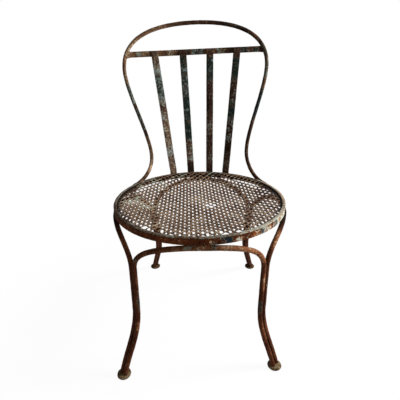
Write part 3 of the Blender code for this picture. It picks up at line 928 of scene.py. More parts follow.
@dataclass
class SeatMesh:
    """Dished sheet of expanded metal with all its diamond openings."""

    finishes: Palette
    half_pitch_x: float = 0.009549
    half_pitch_y: float = 0.009764
    origin: tuple[float, float] = (0.00028, 0.00505)
    turn: float = radians(1.78)
    skew: float = -0.0065
    hole_half_x: float = 0.0028
    hole_half_y: float = 0.0064
    widest: float = 2.6
    longest: float = 1.38
    rear_wide: float = 1.00
    rear_long: float = 0.04
    rear_thin: float = 0.60
    hole_squareness: float = 1.7
    hole_points: int = 12
    open_least: float = 0.12
    open_most: float = 2.4
    wander: float = 0.0004
    columns: int = 24
    rows: int = 27
    rim_raised: float = 0.35
    tilt: float = -0.0002
    crown: float = 0.0006
    thick: float = 0.0011
    dish: tuple[tuple[int, float], ...] = ((2, 0.0046), (4, 0.0319), (8, -0.0226))
    dish_tilt: float = -0.0082
    back_rise: float = 0.0048
    # X, Y, reach and how far the openings are closed; below 0 they are torn wider
    clogs: Rows = (
        (-0.200, 0.066, 0.034, 0.95), (-0.178, 0.030, 0.030, 0.75), (-0.172, 0.098, 0.020, 0.45),
        (-0.160, -0.060, 0.090, 0.24), (0.178, 0.062, 0.040, 0.40), (0.200, 0.015, 0.034, 0.35),
        (0.028, -0.018, 0.014, -2.20), (0.038, -0.005, 0.012, -1.40))
    cover: float = 0.04
    # Rows as patches() takes them
    paint_patches: Rows = (
        (-0.198, 0.070, 0.40, 0.045, 0.0, -0.9), (-0.172, 0.095, 0.40, 0.028, 0.60, 0.8),
        (-0.180, 0.025, 0.40, 0.040, 0.38, 0.1), (-0.155, -0.030, 0.40, 0.070, 0.34, 0.3),
        (-0.130, 0.110, 0.40, 0.060, 0.30, 0.2), (0.045, 0.195, 0.41, 0.035, 0.40, -0.2),
        (-0.060, 0.185, 0.41, 0.040, 0.30, -0.2), (0.030, -0.200, 0.41, 0.035, 0.25, 0.2),
        (-0.090, -0.175, 0.41, 0.045, 0.20, 0.3), (0.0, 0.207, 0.42, 0.060, 0.15, 0.1),
        (0.080, 0.190, 0.42, 0.060, 0.10, -0.1), (-0.080, 0.190, 0.42, 0.060, 0.15, 0.1),
        (0.140, 0.155, 0.42, 0.060, 0.05, 0.0), (-0.140, 0.155, 0.42, 0.060, 0.15, 0.0),
        (0.190, 0.040, 0.41, 0.050, 0.0, -0.8), (0.040, 0.010, 0.40, 0.050, 0.15, 0.2))

    @property
    def radius(self) -> float:
        """Radius of the sheet."""
        return PLAN.band_inner - PLAN.gap

    def _height(self, x: float, y: float) -> float:
        """Height of the sheet's middle surface.

        Args:
            x: Place across the seat.
            y: Place towards the back.

        Returns:
            The height over the floor.
        """
        reach = min(1.0, hypot(x, y) / self.radius)
        sag = sum(depth * (1 - reach ** exponent) for exponent, depth in self.dish)
        rise = self.back_rise * ease(reach, 0.74, 0.95) * ease(y, 0.08, 0.16)
        return PLAN.band_top - sag + rise + self.dish_tilt * x * (1 - reach * reach)

    def _rear(self, x: float, y: float) -> float:
        """How far a place lies in the strip along the back, where the strands are thin."""
        return ease(hypot(x, y) / self.radius, 0.77, 0.85) * ease(y, -0.03, 0.07)

    def _open(self, place: Vector) -> float:
        """How large the opening of a diamond is, against the usual one.

        Args:
            place: Middle of the diamond, measured from the seat's axis.

        Returns:
            Less than 1 where old paint clogs it, more where the strands have worn thin.
        """
        size = 1 + 0.10 * noise.noise(place * 40) - 0.09 * ease(-place.y, 0.0, 0.12)
        for x, y, reach, amount in self.clogs:
            away = hypot(place.x - x, place.y - y)
            size -= amount * (1 - ease(away, reach * 0.3, reach)) * (0.8 + 0.5 * noise.noise(place * 90))
        edge = ease(-place.y, 0.10, 0.17) * ease(hypot(place.x, place.y), 0.180, 0.198)
        edge *= 1 - 0.8 * ease(abs(place.x), 0.09, 0.14)
        size += edge * (0.25 + 0.9 * noise.noise(place * 75))
        return min(self.open_most, max(self.open_least, size))

    def _placed(self, point: Vector, lift: float) -> Vector:
        """Point of the sheet, kept within its edge and turned with the weave.

        Args:
            point: Place in the weave's own plane.
            lift: Height above the sheet's middle surface.

        Returns:
            The point, measured from the seat's axis.
        """
        along = point.x + self.skew * point.y
        x = along * cos(self.turn) - point.y * sin(self.turn) + self.origin[0]
        y = along * sin(self.turn) + point.y * cos(self.turn) + self.origin[1]
        reach = hypot(x, y)
        if reach > self.radius:
            x, y = x * self.radius / reach, y * self.radius / reach
        return Vector((x, y, self._height(x, y) + lift * (1 - self.rear_thin * self._rear(x, y))))

    def _cells(self) -> dict[tuple[int, int], Vector]:
        """Lay out the diamonds, ragged along the front.

        Returns:
            Middle of each diamond by its column and row.
        """
        cells = {}
        for column in range(-self.columns, self.columns + 1):
            for row in range(-self.rows, self.rows + 1):
                centre = Vector((column * self.half_pitch_x, row * self.half_pitch_y, 0))
                front = ease(-centre.y, 0.12, 0.18)
                torn = front * (0.009 + 0.014 * noise.noise(centre * 70 + Vector((0, 0, 6))))
                reach = (centre + Vector((*self.origin, 0))).length
                if (column + row) % 2 == 0 and reach < self.radius - torn:
                    cells[column, row] = centre
        return cells

    def _cell(self, mesh: bmesh.types.BMesh, layer: bmesh.types.BMLayerItem, centre: Vector,
              walls: list[bool]) -> None:
        """Make the strands round one opening.

        Args:
            mesh: Mesh that they are added to.
            layer: Layer that says how far a point stands up to be worn.
            centre: Middle of the diamond.
            walls: Which of its four sides have no neighbour and are closed.
        """
        corners = [AXIS_X * self.half_pitch_x, AXIS_Y * self.half_pitch_y,
                   AXIS_X * -self.half_pitch_x, AXIS_Y * -self.half_pitch_y]
        seed = centre * 40
        shift = Vector((noise.noise(seed + AXIS_X * 9), noise.noise(seed + AXIS_Y * 9), 0)) * self.wander
        middle = self._placed(centre, 0.0)
        size = self._open(middle)
        rear = self._rear(middle.x, middle.y)
        half_x = self.hole_half_x * min(self.widest, size * (1 + self.rear_wide * rear))
        long = min(self.longest, size * (1 + self.rear_long * rear))
        rings = []
        for k in range(self.hole_points):
            side, step = divmod(k, self.hole_points // 4)
            edge = corners[side].lerp(corners[(side + 1) % 4], step / (self.hole_points // 4))
            angle = atan2(edge.y / self.half_pitch_y, edge.x / self.half_pitch_x)
            along = power(sin(angle), 2 / self.hole_squareness)
            inner = centre + shift + Vector((power(cos(angle), 2 / self.hole_squareness) * half_x,
                                             along * self.hole_half_y * long, 0))
            lift = self.tilt * along
            rings.append([mesh.verts.new(self._placed(point, height)) for point, height in (
                (centre + edge, self.crown), (inner, lift), (inner, lift - self.thick),
                (centre + edge, -self.thick - self.crown))])
            rings[-1][0][layer] = 1.0
            rings[-1][1][layer] = self.rim_raised
        for k, now in enumerate(rings):
            after = rings[(k + 1) % self.hole_points]
            for low in range(4 if walls[k // (self.hole_points // 4)] else 3):
                high = (low + 1) % 4
                mesh.faces.new((now[low], after[low], after[high], now[high]))

    def build(self) -> None:
        """Make the sheet cell by cell."""
        piece = Piece("seat_net")
        layer = piece.mesh.verts.layers.float.new("raised")
        cells = self._cells()
        for (column, row), centre in cells.items():
            sides = ((1, 1), (-1, 1), (-1, -1), (1, -1))
            self._cell(piece.mesh, layer, centre, [(column + x, row + y) not in cells for x, y in sides])
        bmesh.ops.remove_doubles(piece.mesh, verts=piece.mesh.verts, dist=0.00004)
        bmesh.ops.dissolve_degenerate(piece.mesh, edges=piece.mesh.edges, dist=0.00002)
        weather = Weather(self.cover, patches(self.paint_patches), self._grime_and_shade)
        piece.place(self.finishes.mesh, "mesh_iron", weather, "seat_pan", sharp=radians(70))

    def _grime_and_shade(self, point: Vector) -> float:
        """Painted shade towards the sheet's edge under the rim, less at the back; darker to the sides and
        right.

        Args:
            point: A point of the mesh, measured from the seat's axis.

        Returns:
            Amount of dirt.
        """
        reach, beside = hypot(point.x, point.y) / self.radius, abs(point.x) / self.radius
        back = ease(point.y, 0.120, 0.185)
        # Painted shade where the rim shades the sheet's edge at the sides
        shade = 0.7 * ease(reach, 0.955, 0.975) * ease(beside, 0.70, 0.90)
        right = 0.25 * ease(point.x, 0.12, 0.17) * ease(point.y, -0.03, 0.03)
        # Painted shade towards the sheet's edge under the rim, less at the back
        edge = 0.4 * ease(reach, 0.86, 1.0) * (1 - 0.8 * back)
        return edge + 0.2 * ease(beside, 0.55, 0.95) * (1 - back) + right + shade


# Legs


class Quarter(Enum):
    """Side of the chair that a leg hoop faces, as the turn of its middle."""

    REAR = 0.0
    RIGHT = pi / 2
    FRONT = pi
    LEFT = -pi / 2


class Corner(Enum):
    """Corner of the chair, as its direction from the middle."""

    FRONT_LEFT = (-1, -1)
    FRONT_RIGHT = (1, -1)
    REAR_LEFT = (-1, 1)
    REAR_RIGHT = (1, 1)


@dataclass(frozen=True)
class Stance:
    """How one leg stands: its foot, its knee and how far it bows inwards."""

    foot: tuple[float, float]
    knee: float
    bow: float


STANCES = {Corner.FRONT_LEFT: Stance((-0.1968, -0.1885), 0.188, 0.0),
           Corner.FRONT_RIGHT: Stance((0.1950, -0.1585), 0.188, 0.0020),
           Corner.REAR_LEFT: Stance((-0.1885, 0.2960), 0.200, 0.0050),
           Corner.REAR_RIGHT: Stance((0.1850, 0.2960), 0.200, 0.0040)}


@dataclass
class Legs:
    """Four hoops of round rod, two rods to a leg, on four disc feet."""

    finishes: Palette
    arch_drop: float = 0.0900
    fullness: float = 2.08
    slack_fullness: float = 1.84
    tight_fullness: float = 2.14
    arch_steps: int = 160
    leg_points: int = 90
    rake_power: float = 1.5
    foot_height: float = 0.0085
    rod_sink: float = 0.001
    spacing: float = 0.0035
    weld_offsets: tuple[float, ...] = (-0.085, -0.030, 0.035, 0.090)
    weld_sizes: Triple = (0.0075, 0.0030, 0.0022)
    weld_drop: float = 0.0005
    foot_points: int = 40
    foot_flat: float = 0.0008
    foot_bulge: float = 0.05
    foot_bump: float = 0.0006
    foot_profile: tuple[tuple[float, float], ...] = (
        (0.0150, 0.0), (0.0168, 0.0012), (0.0178, 0.0027), (0.0180, 0.0040), (0.0175, 0.0055),
        (0.0162, 0.0070), (0.0140, 0.0082), (0.0110, 0.0090), (0.0080, 0.0096))
    rod_dents: Rows = ((0.00035, 60, 2.0), (0.00018, 260, 7.0))
    # Rows as patches() takes them
    rod_patches: Rows = (
        (-0.055, -0.220, 0.398, 0.060, 0.0, 0.5), (0.035, -0.222, 0.398, 0.060, 0.0, 0.4),
        (-0.027, -0.224, 0.402, 0.016, 0.46, 0.5), (-0.050, -0.222, 0.398, 0.014, 0.20, 0.6),
        (0.002, -0.224, 0.398, 0.014, 0.25, 1.0), (0.029, -0.224, 0.401, 0.015, 0.50, -0.1),
        (0.060, -0.218, 0.398, 0.022, 0.10, 1.0), (0.105, -0.196, 0.385, 0.045, 0.0, 1.0),
        (0.145, -0.170, 0.350, 0.030, 0.0, 0.7), (-0.120, -0.185, 0.380, 0.035, 0.0, 0.2),
        (-0.144, -0.160, 0.340, 0.018, 0.55, 0.0), (-0.142, -0.162, 0.275, 0.010, 0.25, 1.2, 2.6),
        (-0.142, -0.164, 0.215, 0.015, 0.66, 0.2, 3.4), (-0.152, -0.168, 0.140, 0.012, 0.0, 0.8, 3.0),
        (0.150, -0.169, 0.270, 0.008, 0.20, 1.3, 4.5), (0.143, -0.172, 0.200, 0.009, 0.75, -0.4, 4.0),
        (0.158, -0.166, 0.120, 0.014, 0.05, 0.3, 3.6), (0.172, -0.125, 0.360, 0.030, 0.05, 1.2, 1.6),
        (-0.172, -0.125, 0.355, 0.022, 0.15, 0.4, 1.4))

    @property
    def hoop_radius(self) -> float:
        """Radius of the circle that the hoops' tops follow."""
        return (PLAN.band_outer + PLAN.band_inner) / 2

    @property
    def top(self) -> float:
        """Height at which the legs turn into arches."""
        return PLAN.band_bottom - PLAN.gap - PLAN.hoop_rod - self.arch_drop

    @property
    def low(self) -> float:
        """Height of the legs' lower ends, just over the feet."""
        return self.foot_height + PLAN.gap

    @property
    def pair_half(self) -> float:
        """Distance of each rod from the middle of its leg."""
        return PLAN.hoop_rod + PLAN.gap / 2

    @property
    def turned(self) -> Matrix:
        """Turn of the whole set of legs."""
        return Matrix.Rotation(-PLAN.leg_turn, 3, "Z")

    def _middle(self, corner: Corner, height: float) -> Vector:
        """Point midway between the two rods of a leg.

        Args:
            corner: Which leg.
            height: Height, taken to the leg's nearer end where it is beyond it.

        Returns:
            The point before the legs' common turn.
        """
        height = min(self.top, max(height, self.low))
        side, depth = corner.value
        reach = sqrt(self.hoop_radius ** 2 - self.pair_half ** 2) / sqrt(2)
        stance = STANCES[corner]
        foot_x, foot_y = stance.foot
        below_knee = max(0.0, (stance.knee - height) / (stance.knee - self.low))
        splay = below_knee ** 2 * (2 - below_knee)
        share = (self.top - height) / (self.top - self.low)
        bow = side * stance.bow * sin(pi * share)
        return Vector((side * reach + (foot_x - side * reach) * splay - bow,
                       depth * reach + (foot_y - depth * reach) * share ** self.rake_power, height))

    def _leg(self, corner: Corner, partner: Vector) -> Points:
        """Centre line of one rod of a leg from its top to its foot.

        Args:
            corner: Which leg.
            partner: Direction from the middle of the leg towards this rod.

        Returns:
            Points of the rod, which ends a little inside the foot.
        """
        end = self.foot_height - self.rod_sink
        middle = [self._middle(corner, height) for height in np.linspace(self.top, end, self.leg_points)]
        middle[-1].z = end
        diagonal = Vector((*corner.value, 0)).normalized()
        rod = []
        for point, direction in zip(middle, tangents(middle)):
            offset = diagonal.cross(direction).normalized()
            if offset.dot(partner) < 0:
                offset.negate()
            rod.append(point + offset * self.pair_half)
        return rod

    def _arch(self, quarter: Quarter, shoulders: tuple[float, float]) -> Points:
        """Arched top of a hoop.

        Args:
            quarter: Side that the hoop faces.
            shoulders: How square its first and its last shoulder are.

        Returns:
            Points of the arch, with its two ends.
        """
        half_turn = pi / 4 - asin(self.pair_half / self.hoop_radius)
        points = []
        for k in range(self.arch_steps + 1):
            angle = pi * (k / self.arch_steps - 0.5)
            exponent = 2 / (shoulders[0] if angle < 0 else shoulders[1])
            rise = abs(cos(angle)) ** exponent * self.arch_drop
            points.append(around(self.hoop_radius, quarter.value + power(sin(angle), exponent) * half_turn,
                                 self.top + rise))
        return points

    def _grime_and_shade(self, point: Vector) -> float:
        """Painted shade under the seat and between paired rods, and dirt near the ground.

        Args:
            point: A point of the mesh, measured from the seat's axis.

        Returns:
            Amount of dirt and painted shade.
        """
        # Painted shade on the rods under the seat, deeper behind the front bar
        rear = ease(point.y, -0.17, -0.13)
        under_seat = 0.55 * ease(point.z, 0.345, 0.40) + 0.5 * ease(point.z, 0.37, 0.40) * rear
        ground = 0.35 * (1 - ease(point.z, 0.01, 0.06))
        corner = Corner((-1 if point.x < 0 else 1, -1 if point.y < 0 else 1))
        middle = self.turned @ self._middle(corner, point.z)
        # Painted shade between the two rods of a leg, below the arches
        away = hypot(point.x - middle.x, point.y - middle.y)
        between = (1 - ease(away, 0.0030, 0.0062)) * (1 - ease(point.z, self.top, self.top + 0.03))
        return max(under_seat, ground, between)

    def build(self) -> None:
        """Make the hoops, the welds at their tops and the feet."""
        weather = Weather(patches=patches(self.rod_patches), grime_and_shade=self._grime_and_shade)
        even = (self.fullness, self.fullness)
        uneven = (self.tight_fullness, self.slack_fullness)
        plan = ((Quarter.REAR, even, Corner.REAR_LEFT, Corner.REAR_RIGHT),
                (Quarter.RIGHT, even, Corner.REAR_RIGHT, Corner.FRONT_RIGHT),
                (Quarter.FRONT, uneven, Corner.FRONT_RIGHT, Corner.FRONT_LEFT),
                (Quarter.LEFT, even, Corner.FRONT_LEFT, Corner.REAR_LEFT))
        for index, (quarter, shoulders, first, last) in enumerate(plan):
            tangent = around(1, quarter.value + pi / 2)
            path = self._leg(first, tangent)[::-1] + self._arch(quarter, shoulders)[1:-1]
            path = resample(path + self._leg(last, -tangent), self.spacing)
            path = [self.turned @ point for point in path]
            name = quarter.name.lower()
            hoop = Piece(name + "_bent_hoop", rod_rings(path, PLAN.hoop_rod),
                         [(*dents, seed + index) for *dents, seed in self.rod_dents])
            hoop.place(self.finishes.rod, "rusty_iron", weather, name + "_leg_hoop")
            self._weld(quarter, index)
        for index, corner in enumerate(Corner):
            self._foot(index, corner.name.lower())

    def _weld(self, quarter: Quarter, index: int) -> None:
        """Make the beads of weld metal between a hoop's top and the band.

        Args:
            quarter: Side that the hoop faces.
            index: Number of the hoop, which varies the beads.
        """
        beads = Piece(f"band_weld_{index + 1}")
        for k, offset in enumerate(self.weld_offsets):
            turn = quarter.value + PLAN.leg_turn + offset
            centre = around(self.hoop_radius, turn, PLAN.band_bottom - self.weld_drop)
            beads.loft(lump(centre, self.weld_sizes, -turn, index * 5.0 + k))
        beads.place(self.finishes.rod, "rusty_iron", Weather(cover=0.28, grime_and_shade=lambda point: 0.35))

    def _foot(self, index: int, corner: str) -> None:
        """Make one foot: a domed disc with an uneven rim.

        Args:
            index: Number of the foot, which varies its rim.
            corner: Name of its corner.
        """
        low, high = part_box(corner + "_foot")
        middle = (low + high) / 2 - PLAN.seat_centre
        middle.z = 0
        rings = [[point + middle for point in ring] for ring in revolved(self.foot_profile, self.foot_points)]
        foot = Piece(corner + "_disc_foot", rings)
        for vert in foot.mesh.verts:
            if vert.co.z > self.foot_flat:
                bump = noise.noise(vert.co * 130 + Vector((index, 0, 5)))
                away = (vert.co - middle).to_2d() * self.foot_bulge
                vert.co += Vector((*away, self.foot_bump)) * bump
        weather = Weather(cover=0.2, grime_and_shade=lambda point: 0.25 * (1 - ease(point.z, 0, 0.003)))
        foot.place(self.finishes.foot, "foot_iron", weather, corner + "_foot")


# Back


@dataclass
class Back:
    """Bent loop, cross rail and four slats."""

    finishes: Palette
    top_height: float = 0.8599
    top_handle: float = 0.1353
    wide_half: float = 0.2189
    wide_drop: float = 0.1223
    wide_handle_up: float = 0.0845
    wide_handle_down: float = 0.0664
    waist_half: float = 0.1537
    waist_rise: float = 0.0546
    waist_handle: float = 0.0665
    tail_pull_waist: float = 0.106
    tail_pull_ring: float = 0.149
    tail_turn: float = radians(57.0)
    tail_drop: float = 0.008
    tail_slope: float = 0.148
    curve_steps: int = 60
    loop_spacing: float = 0.0035
    tongue_thick: float = 0.0040
    tongue_height: float = 0.0128
    tongue_length: float = 0.050
    tongue_forged: float = 0.031
    tongue_tip: float = 0.006
    tip_share: float = 0.55
    tongue_square: float = 2.5
    tongue_steps: int = 26
    rivet_raise: float = 0.0065
    rail_drop: float = 0.0807
    rail_height: float = 0.0164
    rail_thick: float = 0.0040
    rail_edge: float = 0.0007
    rail_steps: int = 140
    rail_sway: float = 0.0004
    weld_length: float = 0.013
    weld_swell: float = 0.0012
    weld_limit: float = 1.4
    slat_width: float = 0.0213
    slat_thick: float = 0.0030
    slat_edge: float = 0.0006
    slat_spacing: float = 0.004
    slat_bow: float = 0.0006
    twist_start: float = 0.02
    twist_end: float = 0.012
    slat_tops: tuple[float, ...] = (-0.1213, -0.0357, 0.0458, 0.1274)
    slat_feet: tuple[float, ...] = (-0.0837, -0.0281, 0.0322, 0.0837)
    slat_raise: float = 0.0015
    top_sink: float = 0.0014
    knee_rise: float = 0.0060
    knee_length: float = 0.016
    knee_steps: int = 8
    loop_cover: float = 0.06
    rail_cover: float = 0.10
    loop_dents: Rows = ((0.00030, 60, 1.0), (0.00018, 260, 4.0))
    rail_dents: Triple = (0.00022, 150, 6.0)
    slat_dents: Triple = (0.00022, 130, 10.0)
    # Place across the back, height, reach, cover, bleaching
    loop_spots: Rows = (
        (-0.120, 0.845, 0.060, 0.12, 0.9), (-0.195, 0.800, 0.055, 0.20, 1.5),
        (-0.215, 0.730, 0.040, 0.30, 0.6), (-0.205, 0.665, 0.045, 0.55, 0.4),
        (-0.178, 0.590, 0.050, 0.60, 0.2), (-0.160, 0.510, 0.040, 0.10, 0.9),
        (-0.150, 0.440, 0.060, 0.0, 1.7), (0.0, 0.865, 0.060, 0.05, -0.1),
        (0.120, 0.845, 0.070, 0.15, -0.8), (0.205, 0.780, 0.040, 0.30, -0.4),
        (0.216, 0.720, 0.040, 0.45, 0.3), (0.190, 0.620, 0.070, 0.60, -0.2),
        (0.158, 0.510, 0.040, 0.10, -0.3), (0.155, 0.440, 0.050, 0.05, -0.2))
    # Place across the back, reach, cover, bleaching
    rail_spots: Rows = (
        (0.0, 0.300, 0.0, 0.2), (-0.200, 0.020, 0.0, 1.3), (-0.171, 0.011, 0.60, 0.9),
        (-0.149, 0.016, 0.05, 1.3), (-0.1305, 0.007, 0.40, -1.2), (-0.108, 0.018, 0.0, 0.4),
        (-0.070, 0.022, 0.42, 0.8), (-0.031, 0.020, 0.45, -1.0), (0.009, 0.026, 0.68, 0.1),
        (0.045, 0.016, 0.0, 0.8), (0.080, 0.020, 0.40, 0.0), (0.134, 0.040, 0.45, -0.6),
        (0.184, 0.013, 0.50, -0.4), (0.205, 0.012, 0.0, -1.0))
    # For each slat from the left: where a stretch of it starts and ends, cover, bleaching
    slat_zones: tuple[Rows, ...] = (
        ((0.00, 0.12, 0.14, 0.7), (0.12, 0.18, 0.24, 0.5), (0.18, 0.27, 0.66, 0.9), (0.27, 0.50, 0.32, 1.0),
         (0.50, 0.60, 0.42, 0.7), (0.60, 0.65, 0.66, 0.8), (0.65, 0.83, 0.72, 0.40), (0.83, 0.88, 0.62, 1.0),
         (0.88, 0.96, 0.30, 0.9), (0.96, 1.00, 0.10, 0.8)),
        ((0.00, 0.12, -0.1, -0.3), (0.12, 0.31, 0.30, 0.5), (0.31, 0.64, 0.78, -0.1),
         (0.64, 0.90, 0.66, 0.25), (0.90, 0.96, 0.72, -0.6), (0.96, 1.00, 0.1, 0.3)),
        ((0.00, 0.12, -0.1, 0.1), (0.12, 0.18, 0.15, 0.4), (0.18, 0.30, 0.16, 0.1), (0.30, 0.44, 0.30, 0.3),
         (0.44, 0.76, 0.16, 0.1), (0.76, 0.94, 0.70, 0.0), (0.94, 1.00, 0.1, 0.0)),
        ((0.00, 0.12, 0.05, 0.2), (0.12, 0.22, 0.22, 0.5), (0.22, 0.29, -0.1, -0.3), (0.29, 0.47, 0.46, 0.35),
         (0.47, 0.60, 0.68, 0.0), (0.60, 0.76, 0.25, 0.0), (0.76, 0.93, 0.68, -0.4), (0.93, 1.00, 0.1, 0.1)))
    zone_blend: float = 0.02

    @property
    def rail_middle(self) -> float:
        """Height of the rail's middle before the back leans aside."""
        return self.top_height - self.rail_drop

    def _half_outline(self) -> Points:
        """Half of the loop from waist to top.

        Returns:
            Points whose X is the half width and whose Y is the height.
        """
        waist = Vector((self.waist_half, PLAN.seat_height + self.waist_rise, 0))
        wide = Vector((self.wide_half, self.top_height - self.wide_drop, 0))
        top = Vector((0, self.top_height, 0))
        lower = bezier(waist, waist + AXIS_Y * self.waist_handle, wide - AXIS_Y * self.wide_handle_down, wide,
                       self.curve_steps)
        upper = bezier(wide, wide + AXIS_Y * self.wide_handle_up, top + AXIS_X * self.top_handle, top,
                       self.curve_steps)
        return lower + upper[1:]

    def _tail(self, side: int) -> Points:
        """Path of the loop from its waist down to the band.

        Args:
            side: -1 for left, 1 for right.

        Returns:
            Points from the waist to the band.
        """
        waist = PLAN.in_back(side * self.waist_half, PLAN.seat_height + self.waist_rise)
        leave = Vector((sin(PLAN.side_lean), -sin(PLAN.lean), -cos(PLAN.lean))) * self.tail_pull_waist
        ring = around(PLAN.seat_radius + PLAN.gap + PLAN.loop_rod, side * self.tail_turn,
                      PLAN.seat_height - self.tail_drop)
        arrive = Vector((side * cos(self.tail_turn), -sin(self.tail_turn), -self.tail_slope)).normalized()
        handle = ring - arrive * (self.tail_pull_ring / 3)
        return bezier(waist, waist + leave / 3, handle, ring, self.curve_steps)

    def _tongue(self, side: int) -> tuple[Points, list[Triple]]:
        """Flattened end of the loop along the band.

        Args:
            side: -1 for left, 1 for right.

        Returns:
            Points of its centre line, and half thickness, half height and
            squareness at each.
        """
        points, sizes = [], []
        end = PLAN.band_bottom + self.rivet_raise
        start = PLAN.seat_height - self.tail_drop
        for k in range(1, self.tongue_steps + 1):
            length = self.tongue_length * k / self.tongue_steps
            share = ease(length, 0.0, self.tongue_forged)
            tip_start = self.tongue_length - self.tongue_tip
            tip = 1 - self.tip_share * ease(length, tip_start, self.tongue_length) ** 2
            half_thick = PLAN.loop_rod + (self.tongue_thick / 2 - PLAN.loop_rod) * share
            half_height = (PLAN.loop_rod + (self.tongue_height / 2 - PLAN.loop_rod) * share) * tip
            radius = PLAN.seat_radius + (PLAN.band_outer - PLAN.seat_radius) * share
            turn = side * (self.tail_turn + length / PLAN.band_outer)
            points.append(around(radius + PLAN.gap + half_thick, turn, start + (end - start) * share))
            sizes.append((half_thick, half_height, 2 + self.tongue_square * share))
        return points, sizes

    @cached_property
    def _bent(self) -> Points:
        """Centre line of the loop's round part.

        Returns:
            Points from its right end to its left.
        """
        outline = self._half_outline()
        right = [PLAN.in_back(p.x, p.y) for p in outline[1:]]
        left = [PLAN.in_back(-p.x, p.y) for p in outline[-2:0:-1]]
        return resample(self._tail(1)[::-1] + right + left + self._tail(-1), self.loop_spacing)

    @cached_property
    def _centres(self) -> np.ndarray:
        """The same centre line as rows of numbers."""
        return np.array(self._bent)

    def _left_side_shade(self, point: Vector) -> float:
        """Painted shade on the side of the loop that is turned to the left, away from the key lamp."""
        nearest = self._centres[np.argmin(((self._centres - np.array(point)) ** 2).sum(1))]
        # Painted shade on the left-facing side of the rod
        return 0.62 * ease(float(nearest[0]) - point.x, 0.1 * PLAN.loop_rod, 0.9 * PLAN.loop_rod)

    def _loop(self) -> None:
        """Make the bent loop with its two flattened ends."""
        right_tongue, sizes = self._tongue(1)
        left_tongue, _ = self._tongue(-1)
        path = right_tongue[::-1] + self._bent + left_tongue
        all_sizes = sizes[::-1] + [(PLAN.loop_rod, PLAN.loop_rod, 2.0)] * len(self._bent) + sizes
        rings = []
        for point, direction, size in zip(path, tangents(path), all_sizes):
            inward = across(direction, -outward(point))
            rings.append(oval(point, inward, direction.cross(inward), *size))
        loop = Piece("bent_loop", rings, self.loop_dents)
        spots = patches((*PLAN.in_back(x, height), *rest) for x, height, *rest in self.loop_spots)
        loop.place(self.finishes.back, "dark_iron", Weather(self.loop_cover, spots, self._left_side_shade), "back_loop")

    def _rail(self) -> None:
        """Make the cross rail, which swells into welds where it meets the loop."""
        side = [p for p in self._half_outline() if p.y >= self.top_height - self.wide_drop]
        half = float(np.interp(self.rail_middle, [p.y for p in side], [p.x for p in side]))
        rings = []
        for k in range(self.rail_steps + 1):
            x = -half + 2 * half * k / self.rail_steps
            weld = max(0.0, 1 - (half - abs(x) - PLAN.loop_rod) / self.weld_length) ** 2
            swell = self.weld_swell * min(weld, self.weld_limit)
            centre = PLAN.in_back(x, self.rail_middle)
            sway = self.rail_sway * noise.noise(Vector((x * 30, 0, 3)))
            upward = (PLAN.in_back(x, self.rail_middle + 0.01) - centre).normalized()
            rings.append(bar(centre + PLAN.forward * sway, upward, PLAN.forward, self.rail_height / 2 + swell,
                             self.rail_thick / 2 + swell, self.rail_edge))
        rail = Piece("flat_rail", rings, [self.rail_dents])
        spots = patches((*PLAN.in_back(x, self.rail_middle), *rest) for x, *rest in self.rail_spots)
        rail.place(self.finishes.back, "dark_iron", Weather(self.rail_cover, spots), "cross_rail")

    def _slat_path(self, foot_x: float, top_x: float) -> tuple[Points, float]:
        """Centre line of a slat from the band to the top of the rail.

        Args:
            foot_x: Place of its foot across the chair.
            top_x: Place of its top across the chair.

        Returns:
            Evenly spaced points, and the turn of its foot round the seat.
        """
        radius = PLAN.seat_radius + PLAN.gap + self.slat_thick / 2
        turn = asin(foot_x / radius)
        foot = around(radius, turn, PLAN.band_bottom + self.slat_raise)
        bend = around(radius, turn, PLAN.seat_height + self.knee_rise)
        before_rail = PLAN.forward * (self.rail_thick / 2 + PLAN.gap + self.slat_thick / 2)
        top = PLAN.in_back(top_x, self.rail_middle + self.rail_height / 2 - self.top_sink) + before_rail
        below = PLAN.in_back(top_x, self.rail_middle - self.rail_height / 2) + before_rail
        lean = (below - bend).normalized()
        after = bend + lean * self.knee_length
        half = self.knee_length / 2
        knee = bezier(bend, bend + AXIS_Z * half, after - lean * half, after, self.knee_steps)
        return resample([foot, *knee, below, top], self.slat_spacing), turn

    def _slats(self) -> None:
        """Make the four slats, which twist from the round band to the rail."""
        *dents, seed = self.slat_dents
        ends = zip(self.slat_feet, self.slat_tops, self.slat_zones)
        for index, (foot_x, top_x, zones) in enumerate(ends, 1):
            path, turn = self._slat_path(foot_x, top_x)
            low, high = path[0].z + self.twist_start, path[-1].z - self.twist_end
            rings = []
            for point, direction in zip(path, tangents(path)):
                facing = turn * (1 - min(1.0, max(0.0, (point.z - low) / (high - low))))
                wide = across(direction, Vector((cos(facing), -sin(facing), 0)))
                bow = self.slat_bow * noise.noise(Vector((point.z * 9, index * 3.0, 1)))
                rings.append(bar(point + wide * bow, wide, direction.cross(wide),
                                 self.slat_width / 2, self.slat_thick / 2, self.slat_edge))
            slat = Piece(f"flat_slat_{index}", rings, [(*dents, seed + index)])
            foot, length = path[0].z, path[-1].z - path[0].z
            runs = tuple((foot + share * length, cover, pale) for start, end, cover, pale in zones
                         for share in (start + self.zone_blend, end - self.zone_blend))
            weather = Weather(grime_and_shade=lambda point: 0.35 * (1 - ease(point.z, 0.42, 0.46)), runs=runs)
            slat.place(self.finishes.slat, "dark_iron", weather, f"slat_{index}")

    def build(self) -> None:
        """Make the loop, the rail and the slats."""
        self._loop()
        self._rail()
        self._slats()


